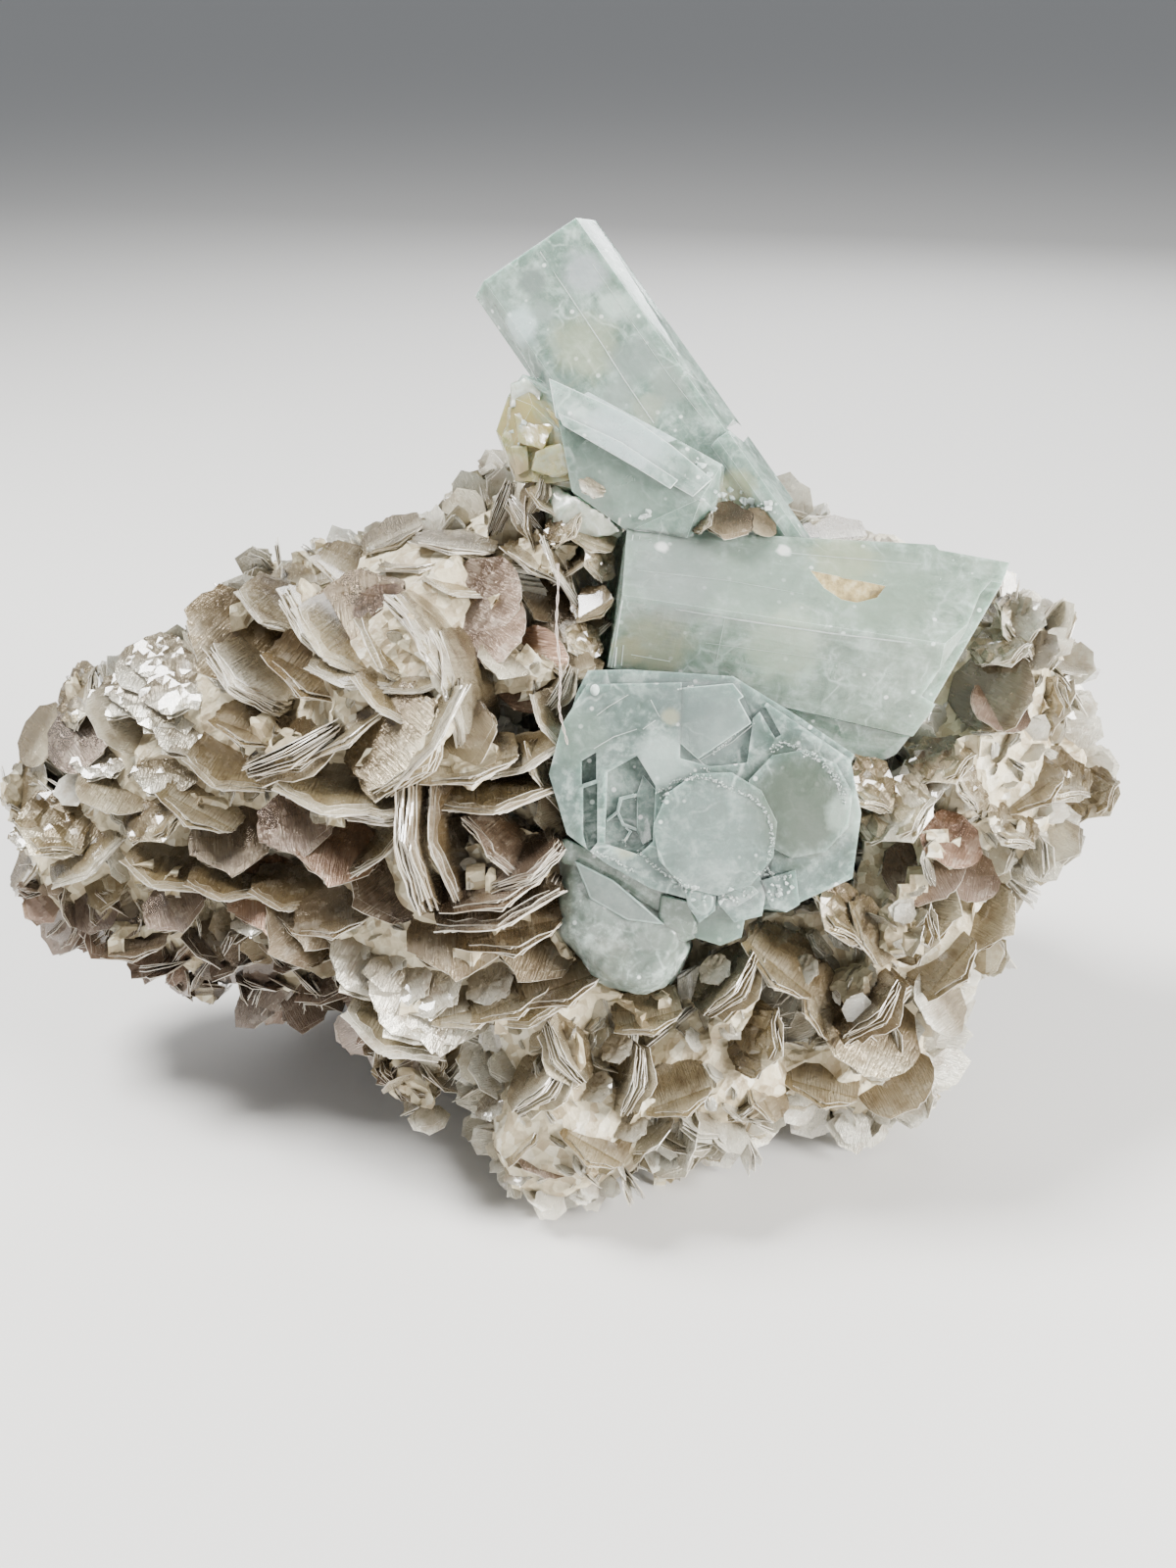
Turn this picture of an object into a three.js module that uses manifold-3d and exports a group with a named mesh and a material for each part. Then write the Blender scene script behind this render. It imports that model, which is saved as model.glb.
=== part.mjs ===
// Aquamarine crystals on a matrix of muscovite mica: a hand specimen that stands on its lowest knobs.
// Millimetres, +Z up, origin on the ground below the middle of the specimen, front towards -Y.
import * as THREE from 'three';
import { ConvexGeometry } from 'three/addons/geometries/ConvexGeometry.js';
import { ConvexHull } from 'three/addons/math/ConvexHull.js';
import { mergeVertices } from 'three/addons/utils/BufferGeometryUtils.js';
import Module from 'manifold-3d';

const wasm = await Module();
wasm.setup();

// Places are surveyed by someone who stands in front and looks down at the specimen. `right` and `up` are
// millimetres across the plane that the sight point lies in, and `behind` is how much further away it is.
const SIGHT_POINT = new THREE.Vector3(4.48, -16.47, 43.9);
const SIGHT_DISTANCE = 180;
const SIGHT_PITCH = THREE.MathUtils.degToRad(25);

const GAP = 0.3; // clearance between two pieces that grew against each other
const SLIVER = 0.004; // faces thinner than this are merged away

// Aquamarine sizes: how far the prism faces lie from the crystal's axis, counted round from the front face.
const LEANING_REACH = [4.6, 6.6, 5.9, 4.8, 5.9, 8.1];
const RIB_REACH = [3.6, 2.4, 2.3, 2.6, 2, 2.2];
const LYING_REACH = [7.1, 7.1, 7.2, 7, 7, 7.2];
const LYING_ROOT_REACH = [9.5, 11.4, 9.6, 9.4, 9.4, 9.6]; // it grows wider towards its rooted end
const LYING_ROLL = Math.PI / 6;
const LYING_END_SLANT = 0.4; // and is broken off there at a slant, longer along its top
const FRONT_FACE_BEHIND = -8; // where the etched end of the stubby prism lies
const FRONT_ROOT_BEHIND = 13;

// Mica sizes.
const CORE_ROUGHNESS = 0.13; // share of a knob's radius by which its surface rises and falls
const FINE_KNOB_RADIUS = 16.2; // knobs larger than this have smaller faces
const SHEET_THICKNESS = 0.85;
const SHEET_SPACING = 1.15; // between the middles of two sheets that lie flat on each other
const FANNED_SPACING = 0.35; // and of two that spread open like a fan
const FANNED_FROM = 0.12; // radians between sheets from which a book counts as fanned
const ROOT_DEPTH = 0.9; // share of its radius that a book's hinge lies below its middle
const SCATTERED_TRIES = 100;
const SCATTER_SEED = 7;

const TOWARD_VIEWER = new THREE.Vector3(0, -Math.cos(SIGHT_PITCH), Math.sin(SIGHT_PITCH));
const VIEW_UP = new THREE.Vector3(0, Math.sin(SIGHT_PITCH), Math.cos(SIGHT_PITCH));
const VIEW_RIGHT = new THREE.Vector3(1, 0, 0);

function seen(right, up, behind) {
  const spread = (SIGHT_DISTANCE + behind) / SIGHT_DISTANCE;
  return SIGHT_POINT.clone()
    .addScaledVector(VIEW_RIGHT, right * spread)
    .addScaledVector(VIEW_UP, up * spread)
    .addScaledVector(TOWARD_VIEWER, -behind);
}

// A repeatable stream of numbers between 0 and 1.
function makeRandom(seed) {
  let state = seed;
  return () => {
    state = (state * 1664525 + 1013904223) % 4294967296;
    return state / 4294967296;
  };
}

// ---- solids ----

function toSolid(geometry) {
  const bare = geometry.clone();
  bare.deleteAttribute('normal');
  bare.deleteAttribute('uv');
  const merged = mergeVertices(bare, 1e-4);
  return new wasm.Manifold(new wasm.Mesh({
    numProp: 3,
    vertProperties: new Float32Array(merged.attributes.position.array),
    triVerts: new Uint32Array(merged.index.array),
  }));
}

function toGeometry(solid) {
  const mesh = solid.getMesh();
  const geometry = new THREE.BufferGeometry();
  geometry.setAttribute('position', new THREE.BufferAttribute(new Float32Array(mesh.vertProperties), 3));
  geometry.setIndex(new THREE.BufferAttribute(new Uint32Array(mesh.triVerts), 1));
  geometry.computeVertexNormals();
  return geometry;
}

function hull(points) {
  return toSolid(new ConvexGeometry(points));
}

// The largest of the bodies that a cut leaves, without the crumbs.
function largestBody(solid) {
  const bodies = solid.decompose();
  return bodies.reduce((best, body) => (body.volume() > best.volume() ? body : best));
}

// Corners of a convex body moved out so that each of its faces lies `gap` further away.
function grownCorners(points, gap) {
  const shape = new ConvexHull().setFromPoints(points);
  const corners = new Map();
  for (const face of shape.faces) {
    let edge = face.edge;
    do {
      const place = edge.head().point;
      const key = place.toArray().map((n) => n.toFixed(4)).join();
      if (!corners.has(key)) corners.set(key, { place, normals: [] });
      const normals = corners.get(key).normals;
      if (!normals.some((n) => n.dot(face.normal) > 0.999)) normals.push(face.normal.clone());
      edge = edge.next;
    } while (edge !== face.edge);
  }
  return [...corners.values()].map(({ place, normals }) => {
    const outward = normals.reduce((sum, n) => sum.add(n), new THREE.Vector3()).normalize();
    const lean = Math.max(0.45, Math.min(...normals.map((n) => n.dot(outward))));
    return place.clone().addScaledVector(outward, gap / lean);
  });
}

// A crystal is a list of convex bodies, so that its neighbours can be cut by a slightly larger copy of it.
function joined(bodies) {
  return bodies.map((points) => hull(points)).reduce((all, body) => all.add(body));
}

function clearanceOf(bodies) {
  return joined(bodies.map((points) => grownCorners(points, GAP)));
}

function cutAll(solid, cutters) {
  return cutters.reduce((rest, cutter) => rest.subtract(cutter), solid);
}

// Corners of one end of a six-sided prism. The first face looks at the viewer once turned by roll, and
// `slant` pushes the upper corners further out along the axis.
function prismEnd(place, axis, reach, roll, slant) {
  const front = TOWARD_VIEWER.clone().projectOnPlane(axis).normalize();
  const side = new THREE.Vector3().crossVectors(front, axis);
  const corners = [];
  for (let i = 0; i < 6; i++) {
    const near = reach[i];
    const next = reach[(i + 1) % 6];
    const a = roll + i * Math.PI / 3;
    const b = a + Math.PI / 3;
    const x = (near * Math.sin(b) - next * Math.sin(a)) / Math.sin(Math.PI / 3);
    const y = (next * Math.cos(a) - near * Math.cos(b)) / Math.sin(Math.PI / 3);
    const offset = front.clone().multiplyScalar(x).addScaledVector(side, y);
    corners.push(place.clone().add(offset).addScaledVector(axis, slant * offset.dot(VIEW_UP)));
  }
  return corners;
}

function prismCorners(tip, root, reach, rootReach = reach, roll = 0, slant = 0) {
  const axis = root.clone().sub(tip).normalize();
  return [...prismEnd(tip, axis, reach, roll, 0), ...prismEnd(root, axis, rootReach, roll, slant)];
}

// A slab whose outline, in [right, up] pairs, faces the viewer between two depths.
function slabCorners(outline, nearBehind, farBehind) {
  return outline.flatMap(([right, up]) => [seen(right, up, nearBehind), seen(right, up, farBehind)]);
}

// A round-cornered disc that faces the viewer.
function discOutline(right, up, radius, corners) {
  return Array.from({ length: corners }, (_, i) => {
    const turn = (i + 0.3) * 2 * Math.PI / corners;
    return [right + radius * Math.cos(turn), up + radius * Math.sin(turn)];
  });
}

// ---- aquamarine ----

// Tall prism that leans back to the upper left.
function leaningPrism() {
  const tip = seen(-4.8, 53.25, 13);
  const root = seen(22, 15, 8.5);
  return prismCorners(tip, root, LEANING_REACH);
}

// Thin prism grown along the right edge of the tall one, ending in a step.
function leaningRightRib() {
  const tip = seen(13.6, 34.5, 8.2);
  const root = seen(22.4, 22, 7);
  return prismCorners(tip, root, RIB_REACH);
}

// Prism grown across the foot of the tall one, with a pale upper face and a greener lower face.
function crossingPrism() {
  return [
    seen(0, 39.8, 2), seen(9, 35, 1), seen(13.5, 32.5, 1),
    seen(-3, 38, 0), seen(4, 33.5, -1), seen(11.5, 29.2, -1.2),
    seen(-1.5, 30, 1.5), seen(4, 26, 1.5), seen(10, 25.2, 1.5), seen(12.8, 28, 0.5),
    seen(0, 39, 9), seen(-3, 36, 9), seen(-1, 29, 9), seen(11, 26, 9), seen(14, 32, 9),
  ];
}

// Broken, iron-stained chunk at the left foot of the tall prism.
function stainedChunk() {
  return [
    seen(-5.5, 40.8, 7), seen(-6.6, 41.6, 8), seen(-8, 39.5, 7), seen(-9.2, 36, 8),
    seen(-7.8, 34.2, 6), seen(-7.3, 31, 7), seen(-5.6, 38.5, 3.5), seen(-3, 36, 2.2),
    seen(-2.5, 30.5, 4), seen(1.5, 29.5, 3), seen(-4, 31, 14), seen(-7, 35, 14), seen(0, 39, 13),
  ];
}

function leaningBodies() {
  return [leaningPrism(), leaningRightRib(), crossingPrism(), stainedChunk()];
}

function leaningAquamarine(neighbours) {
  const brokenCorner = hull([
    seen(-5.2, 52.3, 2), seen(-6.6, 51.4, 2), seen(-5.6, 50.6, 2), seen(-5.4, 51.4, 9.2),
  ]);
  const edgeNotch = hull(slabCorners([[14.6, 37.2], [14, 36.2], [15.6, 34.6], [17, 36]], -5, 20));
  const ribStep = hull(slabCorners([[21.4, 29.6], [20.2, 28.4], [22.6, 25], [27, 25], [26, 29.6]], -5, 20));
  const tipStep = hull(slabCorners([[4, 58], [1.9, 56.5], [3.3, 54.6], [7, 57]], -5, 30));
  const cuts = [brokenCorner, edgeNotch, ribStep, tipStep];
  const solid = cutAll(joined(leaningBodies()), cuts);
  return largestBody(cutAll(solid, neighbours));
}

// Thick prism that lies level and runs into the mica on the right.
function lyingBodies() {
  const tip = seen(2.6, 18.6, 5.5);
  const root = seen(36.2, 13.3, 9.5);
  return [prismCorners(tip, root, LYING_REACH, LYING_ROOT_REACH, LYING_ROLL, LYING_END_SLANT)];
}

function lyingAquamarine(neighbours) {
  const brokenOutline = [[40.2, 20], [37.4, 15], [34, 11], [32.6, 5], [44, 5], [45, 18]];
  const brokenEnd = hull(slabCorners(brokenOutline, -20, 2));
  const pitOutline = [
    [22.6, 21.8], [24.4, 19.8], [26.2, 18.6], [28, 18.6], [30, 19.2], [30.8, 20.8], [28, 20.9],
  ];
  const stainedPit = hull([
    ...slabCorners(pitOutline, -6, -1), seen(26.5, 20.2, 4), seen(28.5, 20, 4),
  ]);
  const topStep = hull(slabCorners([[35.2, 24.6], [35.8, 23.9], [43, 22.6], [43, 28], [35.2, 28]], -10, 30));
  const solid = joined(lyingBodies()).subtract(brokenEnd).subtract(stainedPit).subtract(topStep);
  return largestBody(cutAll(solid, neighbours));
}

// Stubby prism whose etched end looks at the viewer.
function frontBodies() {
  const prism = [
    [0, 10], [9, 10], [15, 10.3], [26.6, 2.4], [27.7, -3], [26.8, -9.5], [20, -12.6],
    [13.5, -12.4], [6.5, -10.5], [2, -8], [-2, -5], [-3.8, 1], [-2.5, 6],
  ];
  const greenLobe = [[10, -12.6], [11, -15.5], [13.5, -16.3], [15.5, -15.5], [16, -12.6], [13, -9]];
  const lobes = [
    [[10, -10], [10.4, -12.4], [11.4, -13.9], [12.8, -12.8], [13, -10]],
    [[13.4, -10], [13.4, -12], [15, -13.9], [17.6, -13.3], [18, -10.8], [17, -9]],
    [[17.8, -10], [18.8, -12.4], [20.2, -12.9], [21.4, -12.2], [21, -9]],
  ];
  const frosted = discOutline(13, -5, 6.2, 11);
  const greenDisc = discOutline(21.5, -2, 5.4, 10);
  return [
    slabCorners(prism, FRONT_FACE_BEHIND, FRONT_ROOT_BEHIND),
    slabCorners(greenLobe, FRONT_FACE_BEHIND + 2.5, 6),
    ...lobes.map((outline) => slabCorners(outline, FRONT_FACE_BEHIND - 0.6, 2)),
    slabCorners(frosted, FRONT_FACE_BEHIND - 1, 0),
    slabCorners(greenDisc, FRONT_FACE_BEHIND - 0.5, 0),
  ];
}

function frontAquamarine(neighbours) {
  const near = FRONT_FACE_BEHIND - 6;
  const etchedWindows = [
    slabCorners([[-0.6, 2.3], [0.8, 3.2], [0.8, 0.5], [-0.6, 0]], near, FRONT_FACE_BEHIND + 0.7),
    slabCorners([[-0.3, -0.5], [0.9, 0], [0.9, -5.5], [0, -7]], near, FRONT_FACE_BEHIND + 0.7),
    slabCorners([[2.1, 1], [5, 2.8], [6.6, 0.2], [6.2, -4], [4, -5.8], [1.8, -6]], near,
      FRONT_FACE_BEHIND + 0.5),
  ];
  const stepOutline = [[14.8, 11.5], [15.6, 9], [17, 6.4], [17.4, 7.8], [19, 9], [18, 12]];
  const cornerStep = slabCorners(stepOutline, near, -3);
  const upperPlate = slabCorners([[9.4, 11], [9.2, 2.5], [12.5, 1.6], [16.4, 2], [17, 6.4], [15.6, 11]], near,
    FRONT_FACE_BEHIND + 0.6);
  const cuts = [...etchedWindows, cornerStep, upperPlate].map((points) => hull(points));
  return largestBody(cutAll(cutAll(joined(frontBodies()), cuts), neighbours));
}

// Small, pale, rounded prism below the stubby one.
function lowerBodies() {
  const outline = [
    [-2.4, -4.8], [3, -9.2], [7, -13], [10, -15], [10.3, -16.5], [9, -18.7], [8, -20.2],
    [5.5, -21], [3.5, -20.8], [1, -19.8], [-0.8, -17.4], [-2.6, -15.2], [-3, -8],
  ];
  const middle = outline.map(([right, up]) => [3.6 + (right - 3.6) * 0.8, -14.5 + (up + 14.5) * 0.8]);
  return [[
    ...outline.map(([right, up]) => seen(right, up, -3.6)),
    ...middle.map(([right, up]) => seen(right, up, -5.6)),
    ...outline.map(([right, up]) => seen(right, up, 10)),
  ]];
}

function lowerAquamarine(neighbours) {
  return largestBody(cutAll(joined(lowerBodies()), neighbours));
}

// Small grey-green broken chunk between the leaning and the lying prism.
function greyBodies() {
  return [[
    seen(-4.2, 30.2, 5), seen(-3.4, 28, 3), seen(-2, 30.6, 4.2), seen(1.5, 29.8, 1), seen(3.6, 27.4, 0.6),
    seen(3.2, 25.6, 1.4), seen(-1, 25.2, 2.4), seen(-3.6, 26, 4), seen(3, 30, 9), seen(-4, 27, 12),
    seen(3, 24.5, 12),
  ]];
}

function greyAquamarine(neighbours) {
  return largestBody(cutAll(joined(greyBodies()), neighbours));
}

// ---- mica matrix ----

// Knobs of the matrix, each [right, up, behind, radius].
const KNOBS = [
  [-49.5, -6.5, 23, 10.4], [-41.4, 1.2, 20, 12.8], [-30, 6.6, 16, 14.4], [-15.6, 15, 12, 14],
  [-8, 20, 18, 12],
  [-20, 8, 5, 12], [-40, -10, 22, 11.2], [-30, -13, 20, 11], [-15, -10, 12, 16], [-4, -20, 10, 13],
  [-2, -34, 6, 10.2], [12, -28, 10, 11], [27, -26, 18, 11.2], [30, -13, 16, 13], [38, 0, 18, 13],
  [40, 11, 20, 11], [46, 2, 22, 7], [10, -5, 22, 20], [16, 15, 27, 15], [13, 22, 15, 8],
  [0, 4, 38, 17], [25, 0, 36, 16.5], [-27, 0, 34, 14.5], [9, -13, 40, 14], [-15, -13, 40, 13.4],
  [-4, 17, 27, 13], [-17, -21.5, 11, 8.4], [25, 17.5, 22, 9.4],
];

// Height of the lumpy surface at a direction, as a sum of slanting waves.
function lumpiness(direction, knob) {
  const { x, y, z } = direction;
  const first = Math.sin(5.1 * x + 2.3 * knob) * Math.cos(4.3 * y - 1.7 * knob);
  const second = Math.sin(8.7 * z + 3.1 * y + knob) * Math.cos(7.9 * x - 2.9 * z);
  return CORE_ROUGHNESS * (first + 0.7 * second);
}

function knobSolid([right, up, behind, radius], index) {
  const detail = radius > FINE_KNOB_RADIUS ? 2 : 1;
  const geometry = new THREE.IcosahedronGeometry(1, detail);
  const position = geometry.attributes.position;
  const centre = seen(right, up, behind);
  const turned = new THREE.Euler(index, 2 * index, 0);
  const corner = new THREE.Vector3();
  for (let i = 0; i < position.count; i++) {
    corner.fromBufferAttribute(position, i).applyEuler(turned).normalize();
    corner.multiplyScalar(radius * (1 + lumpiness(corner, index))).add(centre);
    position.setXYZ(i, corner.x, corner.y, corner.z);
  }
  return toSolid(geometry);
}

// One sheet of mica: an uneven six-sided plate of thickness `thick` across its own z.
function sheetGeometry(radius, thick, random) {
  const outline = new THREE.Shape();
  const corners = 6;
  for (let i = 0; i < corners; i++) {
    const turn = (i + 0.25 * (random() - 0.5)) * 2 * Math.PI / corners;
    const reach = radius * (0.82 + 0.3 * random());
    const point = [reach * Math.cos(turn), reach * Math.sin(turn)];
    if (i === 0) outline.moveTo(...point);
    else outline.lineTo(...point);
  }
  outline.closePath();
  const geometry = new THREE.ExtrudeGeometry(outline, { depth: thick, steps: 1, bevelEnabled: false });
  return geometry.translate(0, 0, -thick / 2);
}

// A book of mica at a place: its sheets stand square to `normal`, side by side, and fan open round the
// edge that is rooted in the matrix, in the direction of `rooted`.
function bookSolids(place, normal, rooted, radius, sheets, fan, random) {
  const across = normal.clone().normalize();
  const down = rooted.clone().projectOnPlane(across).normalize();
  const along = new THREE.Vector3().crossVectors(down, across);
  const root = place.clone().addScaledVector(down, radius * ROOT_DEPTH);
  const spacing = fan > FANNED_FROM ? FANNED_SPACING : SHEET_SPACING;
  return Array.from({ length: sheets }, (_, i) => {
    const step = i - (sheets - 1) / 2;
    const turn = new THREE.Matrix4().makeRotationAxis(along, step * fan);
    const frame = new THREE.Matrix4().makeBasis(along, down, across);
    const geometry = sheetGeometry(radius * (1 - 0.08 * random()), SHEET_THICKNESS, random);
    geometry.translate(radius * 0.15 * (random() - 0.5), -radius * ROOT_DEPTH, step * spacing);
    geometry.applyMatrix4(frame).applyMatrix4(turn).translate(root.x, root.y, root.z);
    return toSolid(geometry);
  });
}

// The books that show in front: [right, up, behind, slant, tilt, radius, sheets, fan]. `slant` is how the
// sheets' edges run, in degrees up from level as seen, and `tilt` turns their faces up to the viewer.
const FRONT_BOOKS = [
  // rosette, upper left of the middle
  [-34, 16, 6, -38, 62, 6, 1, 0.02], [-27, 17, 2, -45, 20, 6, 2, 0.16], [-25, 13, 0, -30, 35, 6, 1, 0.1],
  [-24, 11, -3, -8, 25, 5, 1, 0.1], [-16, 14, -2, -52, 12, 8, 2, 0.1], [-13, 11, -3, -78, 18, 7, 1, 0.12],
  [-20, 5, -7, 52, 48, 6, 2, 0.12], [-16, 5, -7, 58, 25, 6, 1, 0.2], [-29, 4, -3, 22, 25, 6, 2, 0.2],
  [-33, 6, 0, -14, 30, 4, 1, 0.1], [-12, 2, -6, 20, 30, 5, 2, 0.2], [-13, 4, -6, 32, 55, 4, 1, 0.1],
  [-11, 18, 1, 70, 70, 4.5, 1, 0], [-6, 11, 0, 80, 68, 4.5, 1, 0], [-21, 18, 1, 20, 72, 3.5, 1, 0],
  [-9, 28, 10, 60, 15, 3.5, 2, 0.25], [-13, 24, 6, 8, 20, 4.5, 1, 0.12], [-4, 22, 5, -40, 15, 4, 1, 0.3],
  [-2, 24, 5, 38, 20, 4, 1, 0.25], [-20, 26, 10, 30, 30, 4, 1, 0.2], [-27, 23, 12, 15, 35, 4.5, 1, 0.2],
  [-1, 17, 4, 10, 60, 3.6, 1, 0], [-5, 25, 7, -70, 30, 3.6, 1, 0.2],
  // middle
  [-24, -2, -3, -8, 20, 6, 1, 0.06], [-29, -4, -1, 15, 66, 4, 1, 0], [-26, -7, -2, 25, 60, 4, 1, 0],
  [-16, -5, -4, -80, 14, 6.5, 2, 0.08], [-9, -6, -4, 12, 40, 6.5, 1, 0.06], [-9, -12, -3, 20, 28, 6, 1, 0.1],
  [-12, -16, -2, 10, 40, 5, 1, 0.1], [-26, -14, 3, 0, 40, 4, 1, 0.15], [-16, -22, 1, -20, 62, 6.5, 1, 0.05],
  [-22, -19, 6, -24, 58, 5, 1, 0.06], [-8, -22, -1, 30, 40, 5, 1, 0.2], [-32, -12, 8, 6, 62, 4.5, 1, 0],
  // left tip
  [-42, 10, 10, -30, 66, 5, 1, 0.08], [-52, 9, 14, 70, 40, 4, 1, 0.15], [-51, 4, 13, 45, 62, 4, 1, 0],
  [-39, -2, 8, -25, 30, 4.5, 1, 0.12], [-43, -9, 10, -14, 25, 4.5, 1, 0.15], [-34, -10, 8, 4, 30, 5, 1, 0.1],
  [-53, -6, 15, -30, 55, 4.5, 1, 0.12], [-57, -9, 20, 60, 30, 4, 1, 0.2], [-47, 0, 11, 10, 50, 4, 1, 0.2],
  [-38, 6, 6, -60, 35, 4.5, 1, 0.2], [-57, -1, 20, 80, 30, 4, 1, 0.2], [-46, -15, 15, 10, 30, 4, 1, 0.2],
  // foot and bottom
  [-5, -31, -2, 35, 30, 4.5, 2, 0.25], [-1, -28, -3, -70, 25, 4, 1, 0.2], [-7, -36, 2, 60, 30, 4, 1, 0.2],
  [1, -37, -1, -30, 40, 4, 1, 0.2], [5, -33, 0, 80, 30, 3.6, 1, 0.2], [-3, -40, 4, -20, 30, 3.6, 1, 0.2],
  [11, -31, 0, 20, 45, 4, 1, 0.2], [18, -32, 5, -40, 40, 4, 1, 0.2], [15, -23, -1, 60, 20, 4.5, 2, 0.2],
  [21, -20, 0, -50, 25, 5, 2, 0.2], [27, -21, 3, 40, 30, 5, 1, 0.2], [29, -25, 7, -30, 62, 5.5, 1, 0.1],
  [32, -30, 12, 25, 55, 4, 1, 0.15], [24, -31, 9, -15, 40, 4.5, 1, 0.2], [6, -23, -1, 15, 30, 4, 1, 0.2],
  // right side
  [26, -13, -1, -55, 20, 5, 2, 0.15], [31, -15, 2, 70, 30, 5, 1, 0.2], [36, -18, 7, 50, 40, 4.5, 1, 0.2],
  [31, -4, 2, 40, 50, 4.5, 1, 0.15], [36, -7, 4, -30, 60, 4.5, 1, 0], [38, 4, 4, 15, 40, 4, 1, 0.2],
  [41, 9, 8, 60, 62, 4.8, 1, 0.1], [44, 15, 12, -60, 30, 4, 1, 0.2], [45.5, 7, 14, 80, 45, 4, 1, 0.2],
  [42, -3, 8, -20, 35, 4.5, 1, 0.2], [38, -11, 7, 30, 55, 4.5, 1, 0], [47, -2, 14, -50, 35, 4, 1, 0.2],
  [44, 1, 10, 35, 40, 4, 1, 0.2], [34, 1, 3, -65, 30, 3.6, 1, 0.2], [12, 26, 3, -15, 35, 3.4, 1, 0.15],
  [17, 25.6, 4, 10, 45, 3.2, 1, 0.15], [25, 25.6, 13, 5, 30, 4, 1, 0.2], [39, 19, 14, -40, 35, 4, 1, 0.2],
];

function frontBooks(random) {
  return FRONT_BOOKS.flatMap(([right, up, behind, slant, tilt, radius, sheets, fan]) => {
    const run = THREE.MathUtils.degToRad(slant);
    const turn = THREE.MathUtils.degToRad(tilt);
    const across = VIEW_RIGHT.clone().multiplyScalar(-Math.sin(run)).addScaledVector(VIEW_UP, Math.cos(run));
    const normal = across.multiplyScalar(Math.cos(turn)).addScaledVector(TOWARD_VIEWER, Math.sin(turn));
    const rooted = TOWARD_VIEWER.clone().negate();
    return bookSolids(seen(right, up, behind), normal, rooted, radius, sheets, fan, random);
  });
}

function randomDirection(random) {
  const z = 2 * random() - 1;
  const turn = 2 * Math.PI * random();
  const flat = Math.sqrt(1 - z * z);
  return new THREE.Vector3(flat * Math.cos(turn), flat * Math.sin(turn), z);
}

// The back and the underside carry books scattered over the knobs, set on edge at all slants.
function scatteredBooks(random) {
  const solids = [];
  const centres = KNOBS.map(([right, up, behind]) => seen(right, up, behind));
  for (let i = 0; i < SCATTERED_TRIES; i++) {
    const index = Math.floor(random() * KNOBS.length);
    const out = randomDirection(random);
    const slant = randomDirection(random);
    const radius = 4.8 + 2.4 * random();
    const place = centres[index].clone().addScaledVector(out, KNOBS[index][3] * 0.98);
    const buried = centres.some((centre, k) => k !== index && place.distanceTo(centre) < KNOBS[k][3] * 0.9);
    const facesViewer = out.dot(TOWARD_VIEWER) > 0.35;
    const underFoot = place.z < 2.5;
    if (buried || facesViewer || underFoot) continue;
    const normal = slant.projectOnPlane(out).normalize().addScaledVector(out, 0.5);
    solids.push(...bookSolids(place, normal, out.clone().negate(), radius, 1, 0, random));
  }
  return solids;
}

function groundCutter() {
  const half = 200;
  const block = new THREE.BoxGeometry(2 * half, 2 * half, half);
  return toSolid(block.translate(0, 0, -half / 2));
}

function micaMatrix(crystalClearances) {
  const random = makeRandom(SCATTER_SEED);
  const parts = [...KNOBS.map(knobSolid), ...frontBooks(random), ...scatteredBooks(random)];
  const mass = parts.reduce((all, part) => all.add(part));
  const cut = cutAll(mass.subtract(groundCutter()), crystalClearances);
  return largestBody(cut);
}

// ---- materials ----

function aquamarineMaterial(colour, opacity) {
  const finish = { roughness: 0.2, metalness: 0, transparent: true };
  return new THREE.MeshStandardMaterial({ color: colour, opacity, ...finish });
}

function micaMaterial() {
  return new THREE.MeshStandardMaterial({ color: 0xc3b49b, roughness: 0.35, metalness: 0.1 });
}

// ---- specimen ----

function piece(name, solid, material) {
  const mesh = new THREE.Mesh(toGeometry(solid.simplify(SLIVER)), material);
  mesh.name = name;
  return mesh;
}

const frontClearance = clearanceOf(frontBodies());
const lyingClearance = clearanceOf(lyingBodies());
const lowerClearance = clearanceOf(lowerBodies());
const leaningClearance = clearanceOf(leaningBodies());
const greyClearance = clearanceOf(greyBodies());
const allClearances = [frontClearance, lyingClearance, lowerClearance, leaningClearance, greyClearance];

const group = new THREE.Group();
group.add(
  piece('mica_matrix', micaMatrix(allClearances), micaMaterial()),
  piece('front_aquamarine', frontAquamarine([]), aquamarineMaterial(0xa6bcb8, 0.8)),
  piece('lying_aquamarine', lyingAquamarine([frontClearance]), aquamarineMaterial(0xb4c6c0, 0.75)),
  piece('lower_aquamarine', lowerAquamarine([frontClearance]), aquamarineMaterial(0xa9bdb4, 0.8)),
  piece('leaning_aquamarine', leaningAquamarine([frontClearance, lyingClearance]),
    aquamarineMaterial(0xb8c9c6, 0.75)),
  piece('grey_aquamarine', greyAquamarine([lyingClearance, leaningClearance, frontClearance]),
    aquamarineMaterial(0xa9b1a4, 0.85)),
);

export default group;
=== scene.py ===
import math
import random

import bpy
from mathutils import Matrix, Vector
from mathutils.bvhtree import BVHTree


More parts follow.
